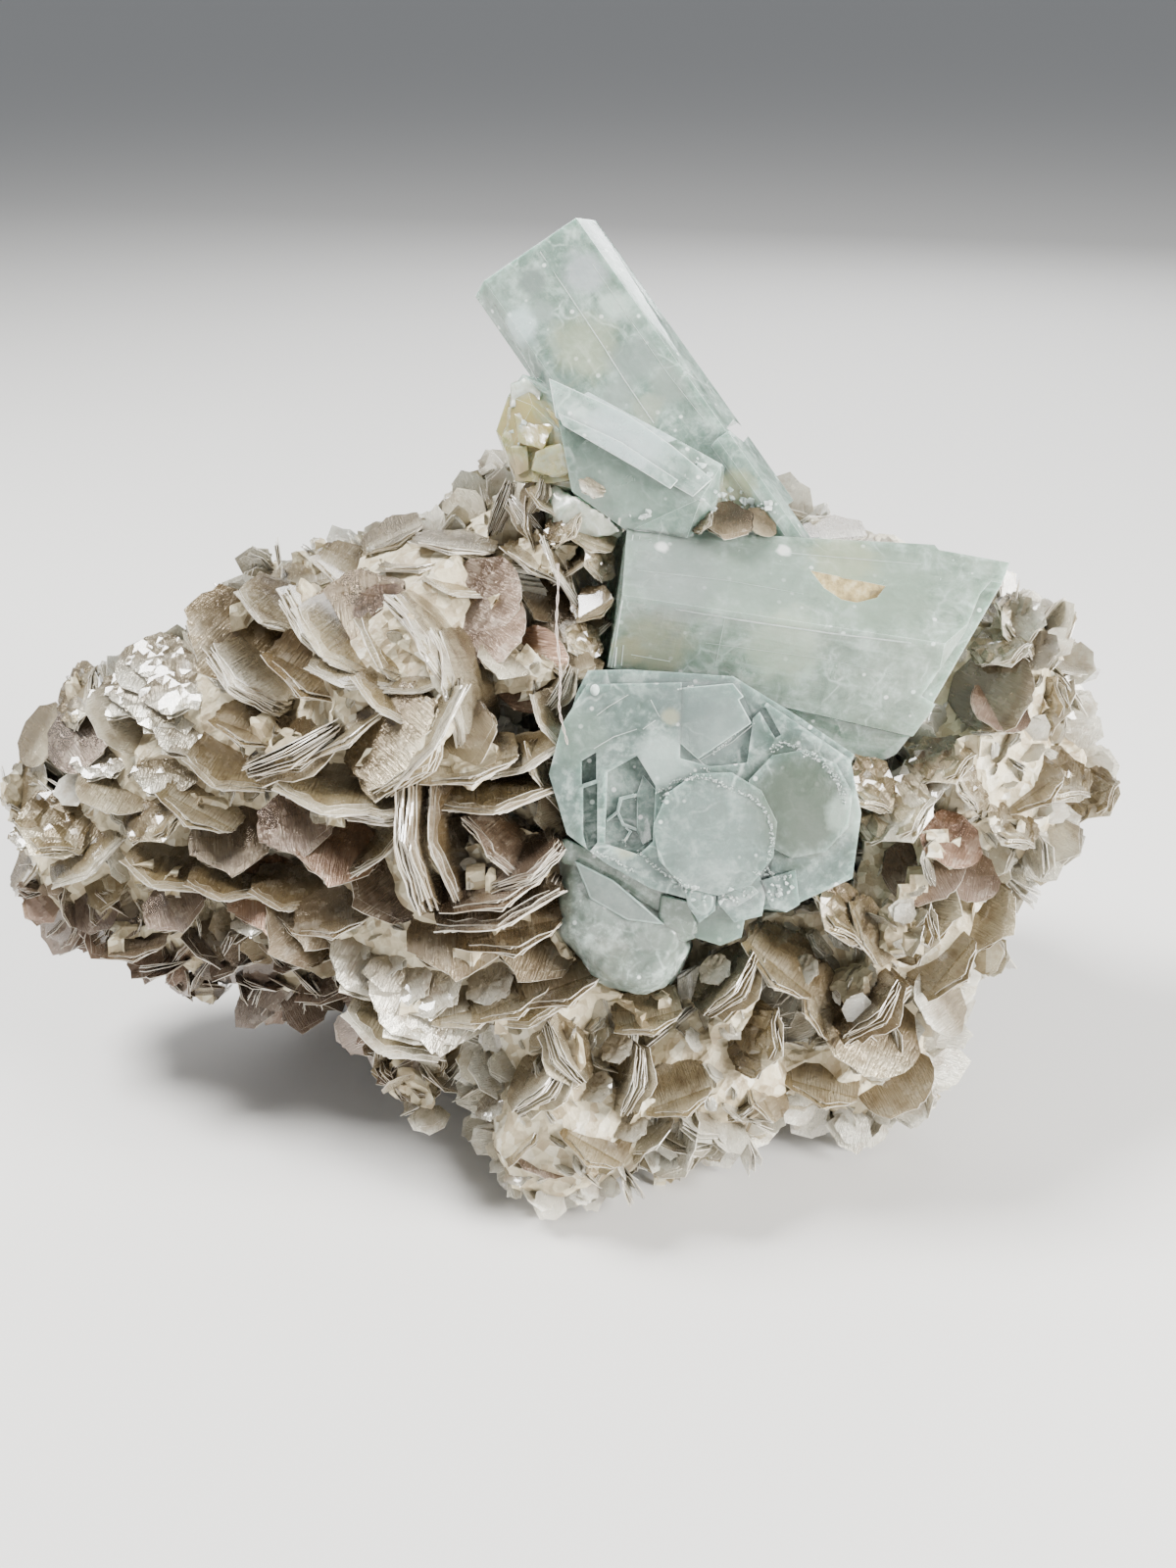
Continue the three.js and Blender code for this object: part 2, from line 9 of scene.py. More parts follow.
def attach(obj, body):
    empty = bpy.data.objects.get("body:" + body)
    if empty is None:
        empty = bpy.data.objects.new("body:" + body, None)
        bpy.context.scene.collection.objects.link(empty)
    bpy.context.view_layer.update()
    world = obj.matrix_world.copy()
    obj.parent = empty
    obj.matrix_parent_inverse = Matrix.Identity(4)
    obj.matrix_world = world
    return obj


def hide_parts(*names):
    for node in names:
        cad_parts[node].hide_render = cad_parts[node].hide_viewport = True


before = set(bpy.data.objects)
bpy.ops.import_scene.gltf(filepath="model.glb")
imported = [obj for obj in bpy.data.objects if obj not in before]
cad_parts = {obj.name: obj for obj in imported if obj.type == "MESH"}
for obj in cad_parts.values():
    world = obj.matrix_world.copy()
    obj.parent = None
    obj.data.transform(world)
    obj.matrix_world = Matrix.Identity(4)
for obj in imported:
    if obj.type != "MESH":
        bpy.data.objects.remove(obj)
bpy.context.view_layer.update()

MM = 0.001

# ------------------------------------------------------------
# The studio: a pale table top that runs on to the horizon, a soft window at the upper left,
# a lower one on the right, two weak fills, and the camera, which looks 25 degrees down.

SIGHT_POINT = Vector((4.48, -16.47, 43.9)) * MM
SIGHT_DISTANCE = 180
SIGHT_PITCH = math.radians(25)
TOWARD_VIEWER = Vector((0, -math.cos(SIGHT_PITCH), math.sin(SIGHT_PITCH)))
SENSOR = 36
FOCAL_SHARE = 1.125  # focal length over the sensor's long side


def deselect_all():
    if bpy.context.object and bpy.context.object.mode != "OBJECT":
        bpy.ops.object.mode_set(mode="OBJECT")
    bpy.ops.object.select_all(action="DESELECT")


def new_object(name, data):
    piece = bpy.data.objects.new(name, data)
    bpy.context.scene.collection.objects.link(piece)
    return piece


def plain_material(name, colour, roughness):
    material = bpy.data.materials.new(name)
    material.use_nodes = True
    shader = material.node_tree.nodes["Principled BSDF"]
    shader.inputs["Base Color"].default_value = (*colour, 1)
    shader.inputs["Roughness"].default_value = roughness
    return material


def give(piece, *materials):
    for material in materials:
        piece.data.materials.append(material)


deselect_all()
bpy.ops.mesh.primitive_plane_add(size=40)
floor = bpy.context.object
floor.name = "studio_floor"
give(floor, plain_material("studio_paper", (0.72, 0.71, 0.69), 0.75))

for name, place, size, power, colour in (
        ("window", (-0.3, 0.02, 0.5), 0.2, 8.6, (1, 0.995, 0.98)),
        ("right_window", (0.45, -0.22, 0.2), 0.25, 10.0, (1, 0.985, 0.96)),
        ("front_fill", (0.1, -0.62, 0.04), 0.4, 2.5, (1, 0.985, 0.955)),
        ("back_fill", (0.15, 0.5, 0.35), 0.35, 2.2, (0.96, 0.98, 1))):
    light = bpy.data.lights.new(name, "AREA")
    light.shape = "DISK"
    light.size = size
    light.energy = power
    light.color = colour
    lamp = new_object(name, light)
    lamp.location = place
    lamp.rotation_euler = (Vector(place) - SIGHT_POINT).to_track_quat("Z", "Y").to_euler()

world = bpy.data.worlds.new("studio_air")
bpy.context.scene.world = world
world.use_nodes = True
background = world.node_tree.nodes["Background"]
background.inputs["Color"].default_value = (0.86, 0.9, 0.96, 1)
background.inputs["Strength"].default_value = 0.32

lens = bpy.data.cameras.new("front_view")
lens.sensor_width = SENSOR
lens.lens = SENSOR * FOCAL_SHARE
lens.clip_start = 0.005
camera = new_object("front_view", lens)
camera.location = SIGHT_POINT + TOWARD_VIEWER * SIGHT_DISTANCE * MM
camera.rotation_euler = (math.pi / 2 - SIGHT_PITCH, 0, 0)
bpy.context.scene.camera = camera


# ------------------------------------------------------------
# The mica ground: the body of the matrix, a felt of tiny mica scales grown into one another.
# Little of it shows between the larger sheets. It is dark in its hollows, pale on its knobs.

def feed(tree, node, inputs):
    """Fills a node's inputs: an output of another node is linked, and any other value is set."""
    for key, value in inputs.items():
        socket = node.inputs[key]
        if isinstance(value, bpy.types.NodeSocket):
            tree.links.new(value, socket)
        elif socket.type == "RGBA":
            socket.default_value = (*value, 1)
        else:
            socket.default_value = value


def add_node(tree, kind, inputs=None, **settings):
    node = tree.nodes.new(kind)
    for key, value in settings.items():
        setattr(node, key, value)
    feed(tree, node, inputs or {})
    return node


def feed_shader(material, inputs):
    feed(material.node_tree, material.node_tree.nodes["Principled BSDF"], inputs)


def object_place(tree):
    return add_node(tree, "ShaderNodeTexCoord").outputs["Object"]


def noise(tree, scale, detail=3.0, roughness=0.55, distortion=0.0, vector=None, output="Fac"):
    vector = object_place(tree) if vector is None else vector
    return add_node(tree, "ShaderNodeTexNoise", {
        "Vector": vector, "Scale": scale, "Detail": detail, "Roughness": roughness,
        "Distortion": distortion}).outputs[output]


def cells(tree, scale, vector, feature="F1"):
    return add_node(tree, "ShaderNodeTexVoronoi", {"Vector": vector, "Scale": scale},
                    feature=feature).outputs


def maths(tree, operation, *values):
    return add_node(tree, "ShaderNodeMath", dict(enumerate(values)), operation=operation).outputs[0]


def ramp(tree, factor, stops):
    """A colour ramp; stops are (place, colour) pairs."""
    node = add_node(tree, "ShaderNodeValToRGB", {"Fac": factor})
    elements = node.color_ramp.elements
    while len(elements) < len(stops):
        elements.new(0.5)
    for element, (place, colour) in zip(elements, stops):
        element.position = place
        element.color = (*colour, 1)
    return node.outputs["Color"]


def layered(tree, colour, *layers):
    """The colour with layers laid over it, each (share, colour) or (share, colour, mode)."""
    for share, over, *mode in layers:
        mix = add_node(tree, "ShaderNodeMix", {0: share, 6: colour, 7: over}, data_type="RGBA",
                       blend_type=mode[0] if mode else "MIX")
        colour = mix.outputs[2]
    return colour


def ranged(tree, value, low, high, to_low=0.0, to_high=1.0):
    return add_node(tree, "ShaderNodeMapRange", {
        "Value": value, "From Min": low, "From Max": high, "To Min": to_low,
        "To Max": to_high}).outputs["Result"]


def bump(tree, height, strength, distance):
    return add_node(tree, "ShaderNodeBump", {
        "Height": height, "Strength": strength, "Distance": distance}).outputs["Normal"]


def new_group(name, inputs, outputs):
    """A shader node group with its sockets {name: kind}, the values given to it, and its end."""
    group = bpy.data.node_groups.new(name, "ShaderNodeTree")
    for direction, sockets in (("INPUT", inputs), ("OUTPUT", outputs)):
        for socket, kind in sockets.items():
            group.interface.new_socket(socket, in_out=direction, socket_type="NodeSocket" + kind)
    return group, add_node(group, "NodeGroupInput").outputs, add_node(group, "NodeGroupOutput")


def iron_tint_and_painted_shade_group():
    """Where iron has tinted the mica: a cream, brown or pink colour that drifts over it.
    Some pieces take browner tints from it as a painted shade.
    """
    group, given, end = new_group("iron_tint_and_painted_shade", {"Tint": "Float", "Shade": "Float"},
                                  {"Color": "Color"})
    drifted = maths(group, "MULTIPLY_ADD", noise(group, 55, 2.0), 0.3, given["Tint"])
    colour = ramp(group, maths(group, "SUBTRACT", drifted, 0.15), [
        (0.0, (0.87, 0.855, 0.75)), (0.18, (0.65, 0.58, 0.41)), (0.38, (0.405, 0.325, 0.205)),
        (0.56, (0.165, 0.12, 0.085)), (0.72, (0.36, 0.27, 0.215)), (1.0, (0.46, 0.27, 0.175)),
    ])
    feed(group, end, {"Color": layered(
        group, colour, (given["Shade"], (0.56, 0.50, 0.38), "MULTIPLY"))})
    return group


iron_tint_and_painted_shade = iron_tint_and_painted_shade_group()


def use_tint(tree, tint, shade):
    return add_node(tree, "ShaderNodeGroup", {"Tint": tint, "Shade": shade},
                    node_tree=iron_tint_and_painted_shade).outputs["Color"]


def mica_ground_material():
    material = plain_material("mica_ground", (0.5, 0.42, 0.33), 0.5)
    tree = material.node_tree
    scales = cells(tree, 900, object_place(tree))
    fine = noise(tree, 1400, 4)
    feed_shader(material, {
        "Base Color": use_tint(tree, ranged(tree, scales["Color"], 0, 1, 0.05, 0.42), 0.2),
        "Roughness": ranged(tree, fine, 0.3, 0.7, 0.3, 0.6),
        "Normal": bump(tree, maths(tree, "ADD", scales["Distance"], fine), 0.6, 0.0004)})
    return material


def copy_of(piece):
    copy = piece.copy()
    copy.data = piece.data.copy()
    bpy.context.scene.collection.objects.link(copy)
    return copy


def bare_copy(piece, name):
    """A copy without the parent, the marks and the materials of the piece."""
    copy = copy_of(piece)
    for key in list(copy.keys()):
        del copy[key]
    copy.parent = None
    copy.name = name
    copy.data.materials.clear()
    return copy


def make_active(piece):
    deselect_all()
    piece.select_set(True)
    bpy.context.view_layer.objects.active = piece


def in_edit_mode(piece, *steps):
    """Takes the steps one after another, with the piece's whole mesh selected at first."""
    make_active(piece)
    bpy.ops.object.mode_set(mode="EDIT")
    bpy.ops.mesh.select_all(action="SELECT")
    for step in steps:
        step()
    bpy.ops.object.mode_set(mode="OBJECT")


def copy_of_node(name, node):
    """A copy of a frame solid's mesh with its loose corners merged."""
    piece = bare_copy(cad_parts[node], name)
    in_edit_mode(piece, lambda: bpy.ops.mesh.remove_doubles(threshold=1e-6))
    if piece.data.has_custom_normals:
        in_edit_mode(piece, bpy.ops.mesh.customdata_custom_splitnormals_clear)
    return piece


def apply_modifier(piece, kind, **settings):
    make_active(piece)
    modifier = piece.modifiers.new(kind.lower(), kind)
    for key, value in settings.items():
        setattr(modifier, key, value)
    bpy.ops.object.modifier_apply(modifier=modifier.name)


def roughen(piece, kind, size, height, middle, **settings):
    """Raises lumps of a procedural texture, with their size and height in millimetres."""
    texture = bpy.data.textures.new(piece.name + "_lumps", kind)
    texture.noise_scale = size * MM
    for key, value in settings.items():
        setattr(texture, key, value)
    apply_modifier(piece, "DISPLACE", texture=texture, strength=height * MM, mid_level=middle,
                   texture_coords="LOCAL")


def joined(name, pieces):
    deselect_all()
    for piece in pieces:
        piece.select_set(True)
    bpy.context.view_layer.objects.active = pieces[0]
    bpy.ops.object.join()
    bpy.context.object.name = name
    return bpy.context.object


def stands_for(piece, node, slot):
    """Fixes a piece to the specimen, in the place of a frame node; `slot` is not used."""
    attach(piece, "root")
    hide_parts(node)


# All the crystals in one mesh, which the mica keeps clear of. It is removed again.
crystal_mass = joined("crystal_mass", [copy_of_node(name + "_room", name)
                                       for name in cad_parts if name.endswith("aquamarine")])

ground = copy_of_node("mica_ground", "mica_matrix")
apply_modifier(ground, "REMESH", mode="VOXEL", voxel_size=1.1 * MM)
AWAY = "away_from_crystals"  # the weights by which the ground sinks between them
ground.vertex_groups.new(name=AWAY).add(range(len(ground.data.vertices)), 1, "REPLACE")
apply_modifier(ground, "VERTEX_WEIGHT_PROXIMITY", vertex_group=AWAY, target=crystal_mass,
               proximity_mode="GEOMETRY", proximity_geometry={"FACE"}, min_dist=0.6 * MM,
               max_dist=2.6 * MM)
apply_modifier(ground, "DISPLACE", strength=-1.7 * MM, mid_level=0, vertex_group=AWAY)
roughen(ground, "CLOUDS", size=2.6, height=1.1, middle=0.62, noise_depth=2)
for vertex in ground.data.vertices:
    vertex.co.z = max(vertex.co.z, 0)
give(ground, mica_ground_material())
make_active(ground)
bpy.ops.object.shade_flat()
stands_for(ground, "mica_matrix", "mica")


# ------------------------------------------------------------
# Mica sheets and books: muscovite splits into thin six-sided sheets with pearly, smoky faces
# and bright, torn edges. The sheets grew in books: tight, curved, or open like a fan.

def sheet_pattern_group():
    """Lines that follow the sheets of a book, from its own coordinates, and a pearly film."""
    group, _, end = new_group("sheet_pattern", {}, {
        "Lines": "Float", "Film": "Float", "Scratches": "Float"})
    grain = add_node(group, "ShaderNodeAttribute", attribute_name="grain").outputs["Vector"]
    stacked, drawn = (
        add_node(group, "ShaderNodeMapping", {"Vector": grain, "Scale": scale}).outputs["Vector"]
        for scale in ((0.8, 0.8, 75), (26, 2.2, 1)))
    feed(group, end, {
        "Lines": noise(group, 1.6, 3, 0.6, 0, stacked), "Film": noise(group, 420, 5, 0.62),
        "Scratches": noise(group, 1, 3, 0.6, 0.4, drawn)})
    return group


sheet_pattern = sheet_pattern_group()


def stored(tree, *names):
    return [add_node(tree, "ShaderNodeAttribute", attribute_name=name).outputs["Fac"]
            for name in names]


def mica_face_material():
    material = plain_material("mica_face", (0.4, 0.3, 0.2), 0.3)
    tree = material.node_tree
    tint, shade, reach = stored(tree, "tint", "shade", "reach")
    pattern = add_node(tree, "ShaderNodeGroup", node_tree=sheet_pattern).outputs
    film, scratches = pattern["Film"], pattern["Scratches"]
    colour = layered(
        tree, use_tint(tree, tint, shade),
        (ranged(tree, scratches, 0.55, 0.75, 0, 0.35), (0.74, 0.68, 0.55)),
        (ranged(tree, film, 0.54, 0.76, 0, 0.4), (0.80, 0.76, 0.67)),
        (ranged(tree, film, 0.5, 0.34, 0, 0.6), (0.36, 0.27, 0.19), "MULTIPLY"),
        # Darker towards each book's hinge: painted shade.
        (ranged(tree, reach, 0.45, 1.0, 0.92, 0), (0.22, 0.175, 0.115), "MULTIPLY"))
    feed_shader(material, {
        "Base Color": colour, "Roughness": ranged(tree, film, 0.35, 0.65, 0.08, 0.34),
        "Metallic": 0.4, "IOR": 1.6, "Coat Weight": 1.0, "Coat Roughness": 0.07,
        "Normal": bump(tree, maths(tree, "ADD", film, scratches), 0.75, 0.0004)})
    return material


def mica_edge_material():
    material = plain_material("mica_edge", (0.7, 0.65, 0.55), 0.28)
    tree = material.node_tree
    tint, reach = stored(tree, "tint", "reach")
    pattern = add_node(tree, "ShaderNodeGroup", node_tree=sheet_pattern).outputs
    bright = layered(
        tree, use_tint(tree, ranged(tree, tint, 0, 1, 0.02, 0.5), 0.0),
        (ranged(tree, pattern["Film"], 0.35, 0.55, 0.3, 0.95), (0.95, 0.93, 0.83)))
    colour = layered(
        tree, (0.34, 0.26, 0.17), (ranged(tree, pattern["Lines"], 0.42, 0.6), bright),
        # The edges also darken towards the hinge: painted shade.
        (ranged(tree, reach, 0.3, 0.8, 0.85, 0), (0.22, 0.16, 0.11), "MULTIPLY"))
    feed_shader(material, {
        "Base Color": colour, "Specular IOR Level": 0.8, "Coat Weight": 1.0,
        "Coat Roughness": 0.1, "Normal": bump(tree, pattern["Lines"], 0.6, 0.0002)})
    return material


mica_face = mica_face_material()
mica_edge = mica_edge_material()
HINGE = 0.95  # how far from the middle of a sheet of radius 1 its hinge lies


def mica_sheet(corners, cuts, raggedness, warp, thickness, seed):
    """An uneven sheet of radius 1, flat in the XY plane, with its rim in the edge finish."""
    deselect_all()
    bpy.ops.mesh.primitive_circle_add(vertices=corners, radius=1,
                                      fill_type="TRIFAN" if warp else "NGON")
    sheet = bpy.context.object
    if cuts:
        in_edit_mode(sheet, lambda: bpy.ops.mesh.subdivide(number_cuts=cuts))
    in_edit_mode(
        sheet,
        lambda: bpy.ops.transform.vertex_random(offset=raggedness, uniform=1.0, normal=0.0,
                                                seed=seed),
        lambda: bpy.ops.transform.resize(value=(1, 1, warp)))
    give(sheet, mica_face, mica_edge)
    apply_modifier(sheet, "SOLIDIFY", thickness=thickness, offset=0, material_offset_rim=1)
    return sheet


def store(piece, name, values):
    """Gives each corner of the piece a number that its material reads."""
    piece.data.attributes.new(name, "FLOAT", "POINT").data.foreach_set("value", values)


def mica_book(sheets, pitch, seed, fan=0.5, slip=0.05, corners=6, cuts=3, raggedness=0.06,
              warp=0.0, thickness=0.026, bend=0, painted_hinge_shade=1.0):
    """A book of sheets, hinged along the X axis, with its free edges towards -Y.

    `painted_hinge_shade` says how much its sheets darken towards the hinge: a painted shade.
    """
    dice = random.Random(seed)
    patterns = [mica_sheet(corners, cuts, raggedness, warp, thickness, seed + offset)
                for offset in (0, 50, 90)]
    copies = []
    gaps = [dice.choice((0.55, 0.7, 0.85, 1.9)) for _ in range(sheets)]
    for index in range(sheets):
        step = (sum(gaps[:index]) - sum(gaps) / 2) * sheets / sum(gaps)
        copy = copy_of(dice.choice(patterns))
        turn = Matrix.Rotation(
            math.tau / corners * dice.randrange(corners) + dice.uniform(-0.12, 0.12), 4, "Z")
        size = Matrix.Diagonal((dice.uniform(0.78, 1.03), dice.uniform(0.78, 1.03), 1, 1))
        shift = Matrix.Translation((
            dice.uniform(-slip, slip), -HINGE + dice.uniform(-slip, slip), step * pitch))
        opened = Matrix.Rotation(math.radians(fan * step + dice.uniform(-0.4, 0.4)), 4, "X")
        copy.data.transform(opened @ shift @ size @ turn)
        store(copy, "shade", [dice.choice((0, 0.1, 0.3, 0.6, 1))] * len(copy.data.vertices))
        # The reach grows from the hinge to the free edge; the finishes darken low reach as painted
        # shade.
        store(copy, "reach", [1 - painted_hinge_shade * (1 + vertex.co.y / (2 * HINGE))
                              for vertex in copy.data.vertices])
        copies.append(copy)
    book = joined("book", copies)
    for pattern in patterns:
        bpy.data.objects.remove(pattern)
    places = [part for vertex in book.data.vertices for part in vertex.co]
    book.data.attributes.new("grain", "FLOAT_VECTOR", "POINT").data.foreach_set("vector", places)
    if bend:
        on_edge = Matrix.Rotation(math.pi / 2, 4, "X")
        book.data.transform(on_edge)
        apply_modifier(book, "SIMPLE_DEFORM", deform_method="BEND", deform_axis="Z",
                       angle=math.radians(bend))
        book.data.transform(on_edge.inverted())
    return book


BOOK_KINDS = {
    "tight": mica_book(11, 0.026, 11, thickness=0.024),
    "thick": mica_book(15, 0.028, 21, fan=0.4),
    "open": mica_book(13, 0.026, 31, fan=1.1, slip=0.07, thickness=0.022),
    "fan": mica_book(15, 0.022, 41, fan=2.0, slip=0.09, cuts=2, thickness=0.022),
    "bowed": mica_book(12, 0.033, 51, fan=0.8, warp=0.3, bend=55),
    "wavy": mica_book(7, 0.05, 71, fan=1.2, cuts=2, warp=1.0, raggedness=0.08),
    "plate": mica_book(6, 0.026, 61, fan=0.2, slip=0.12, raggedness=0.045),
    "scale": mica_book(4, 0.04, 65, fan=1.0, slip=0.15, corners=9, cuts=1),
    "glint": mica_book(3, 0.03, 75, slip=0.16, corners=7, raggedness=0.07, warp=0.55),
}


VIEW_UP = Vector((0, math.sin(SIGHT_PITCH), math.cos(SIGHT_PITCH)))
VIEW_RIGHT = Vector((1, 0, 0))


def seen(right, up, behind):
    """A place surveyed from the camera, in millimetres right, up and behind the sight point."""
    spread = (SIGHT_DISTANCE + behind) / SIGHT_DISTANCE
    across = VIEW_RIGHT * right * spread + VIEW_UP * up * spread
    return SIGHT_POINT + (across - TOWARD_VIEWER * behind) * MM


def place_book(kind, place, slant, tilt, radius, tint):
    """A book about `place`, hinged on the far side, whose edges run `slant` degrees up from
    level, and whose faces are turned up by `tilt` degrees."""
    run, turned_up = math.radians(slant), math.radians(tilt)
    normal = (VIEW_UP * math.cos(run) - VIEW_RIGHT * math.sin(run)) * math.cos(turned_up)
    across = (normal + TOWARD_VIEWER * math.sin(turned_up)).normalized()
    down = (across * TOWARD_VIEWER.dot(across) - TOWARD_VIEWER).normalized()
    turn = Matrix((down.cross(across), down, across)).transposed().to_4x4()
    book = copy_of(BOOK_KINDS[kind])
    book.data.transform(Matrix.Translation(place + down * HINGE * radius * MM) @ turn
                        @ Matrix.Diagonal((radius * MM, radius * MM, radius * MM, 1)))
    store(book, "tint", [tint] * len(book.data.vertices))
    return book


def make_cluster(name, kinds):
    """For each kind its books, as (right, up, behind, slant, tilt, radius, tint), in one piece."""
    piece = joined(name, [
        place_book(kind, seen(right, up, behind), *rest)
        for kind, rows in kinds.items() for right, up, behind, *rest in rows])
    stands_for(piece, "mica_matrix", "mica")
    return piece


# ------------------------------------------------------------
# The rosette, upper left of the middle: the largest books, five to eight millimetres in
# radius, of smoky brown mica, which stand on edge and sweep round in curved rows.

rosette = make_cluster("mica_rosette", {
    "plate": [
        (-35, 15, 6, -40, 58, 6.5, 0.3), (-23, 18, 1, 10, 60, 5.5, 0.35),
        (-13, 5, -5, 40, 52, 4.5, 0.3), (-8, 13, -0.6, -14, 52, 3.2, 0.1),
        (-1.5, 17, 4, 10, 56, 4, 0.45), (-3.5, 19, 6, -30, 50, 4, 0.4),
        (-2, 0, -3, -70, 40, 4, 0.3), (-3, -3, -4, -70, 52, 3, 0.35),
        (-3.4, -7.6, -3.4, -60, 50, 2.8, 0.35), (-2.6, 8, -3, -20, 60, 2.6, 0.2)],
    "thick": [
        (-34, 11, 3, -40, 22, 5.5, 0.05), (-26.5, 16, 2, -47, 20, 6, 0.1),
        (-19.5, 4.5, -7, 52, 50, 6, 0.3)],
    "tight": [
        (-24, 14.5, 0, -40, 30, 6.5, 0.15), (-23.5, 11.5, -2.5, -12, 26, 5, 0.08),
        (-18, 13, 1, -45, 30, 6.5, 0.15), (-16.5, 5.5, -7, 56, 22, 6.5, 0.12),
        (-17, 10.5, -4, 10, 22, 4, 0.1), (-20, 8.5, -5, -38, 22, 4.5, 0.2),
        (-6.5, 3, -5, 24, 24, 4.5, 0.1), (-9, -0.5, -5, 10, 25, 6, 0.3),
        (-9, 23, 6, -14, 20, 5, 0.1), (-2.5, 21.5, 4, -62, 14, 4.5, 0.05),
        (-1, 23, 5, 42, 20, 4, 0.25), (-13, 20.5, 3, -15, 28, 4, 0.15),
        (-31, 18, 7, -30, 35, 5, 0.15), (-0.5, 4, -3, 15, 30, 4, 0.2),
        (-0.6, 15.4, 4, 30, 30, 3.4, 0.1), (-3.6, 6.4, -5, -60, 26, 3.4, 0.12)],
    "open": [
        (-27, 12, 0, -28, 38, 6, 0.35), (-25, 6, -3, 32, 24, 6, 0.25),
        (-34, 6, 0, -20, 30, 4.5, 0.25), (-12, 2.5, -6, 14, 26, 5.5, 0.2),
        (-13.5, 24.5, 6, -8, 18, 5, 0.08), (-17, 23, 6, 8, 22, 5, 0.1),
        (-5, 22.5, 5, -30, 20, 4.5, 0.12), (-20, 25.5, 10, 25, 30, 4, 0.15),
        (-24, 22, 8, -30, 36, 4.5, 0.12), (-29, 21, 11, 15, 35, 4.5, 0.12),
        (-5, 26, 7, -80, 25, 3.6, 0.25), (-0.5, 20, 5, -70, 24, 3.4, 0.15),
        (-1.6, 12.4, 0, -20, 34, 3.6, 0.12), (-4.4, 1.6, -5, -66, 24, 3.4, 0.2),
        (0.4, 18.4, 1.6, 30, 48, 2.5, 0.25), (-1.4, 11.8, -1.4, 24, 46, 2.4, 0.2),
        (0.6, 25, 2.2, -20, 40, 2.6, 0.15), (-4, 29, 4.4, -40, 36, 2.6, 0.2)],
    "bowed": [
        (-14.5, 14, -2, -58, 14, 8, 0.08), (-12, 10, -3, -76, 18, 7, 0.1)],
    "fan": [
        (-30, 4, -3, 26, 22, 6, 0.3), (-9, 28, 10, 70, 12, 3.5, 0.1),
        (-6, 27, 8, -50, 15, 3.4, 0.15), (-3.4, 9.6, -3, 60, 22, 3.2, 0.1),
        (-5.6, 29.6, 5, 70, 34, 2.4, 0.15)],
    "scale": [
        (-11, 19, 1, 60, 66, 4.6, 0.72), (-10, 16, 0, 50, 62, 4, 0.8),
        (-6, 11.5, 0, 80, 64, 4.6, 0.98), (-21, 17.5, 0, 20, 66, 3.6, 0.72)],
    "wavy": [
        (1.2, 22.6, 1.6, -66, 44, 2.4, 0.2), (-0.4, 14.6, 0.4, -50, 50, 2.5, 0.15),
        (-2.6, 26.2, 2.6, 50, 40, 2.8, 0.2)],
})


# ------------------------------------------------------------
# The middle, below the rosette: brown books of mica in shade, and a bright silvery stack
# with a straight edge, which the books split away from.

middle = make_cluster("mica_middle", {
    "tight": [
        (-25, -0.5, -4, -10, 26, 6.5, 0.15), (-21, -6, -3, 42, 20, 4.5, 0.2),
        (-13.5, -6, -5, -78, 20, 6.5, 0.5), (-9, -11.5, -4, 18, 24, 7, 0.5),
        (-19, -24.5, 3, -24, 30, 6, 0.0), (-6, -22.5, -1, 16, 30, 4, 0.15)],
    "thick": [
        (-20, -1.5, -4, 4, 22, 5.5, 0.2), (-16.5, -6, -5, -82, 12, 7.5, 0.45),
        (-6.4, -7.8, -7, 32, 24, 4.4, 0.6)],
    "plate": [
        (-29.5, -3.5, -1, 15, 62, 4.4, 0.74), (-25, -6.5, -2, -8, 55, 4.6, 0.92),
        (-13, -15, -1, 5, 55, 5.5, 0.42), (-5, -16, -1, -20, 55, 5, 0.4),
        (-20, -10, 0, -50, 55, 5, 0.55), (-29, -15, 5, -50, 55, 4.5, 0.45),
        (-32, -11, 7, 6, 60, 5, 0.95), (-27, -13.5, 5, -15, 50, 4.5, 0.45)],
    "bowed": [
        (-8.2, -5.6, -6.4, -48, 26, 5, 0.6)],
    "open": [
        (-9.6, -9.2, -5.4, 20, 30, 6.4, 0.64), (-8, -13.5, -3, 12, 36, 6, 0.42),
        (-26, -13, 2, 10, 34, 4.5, 0.45), (-12, -22, 0, 14, 36, 4.5, 0.08),
        (-8, -21, -1, 24, 30, 5, 0.2), (-3, -19.5, -2, 20, 34, 5, 0.3)],
    "glint": [
        (-16, -21.5, 1, -22, 60, 7, 0.0), (-21, -18, 3, -26, 56, 6, 0.02)],
})
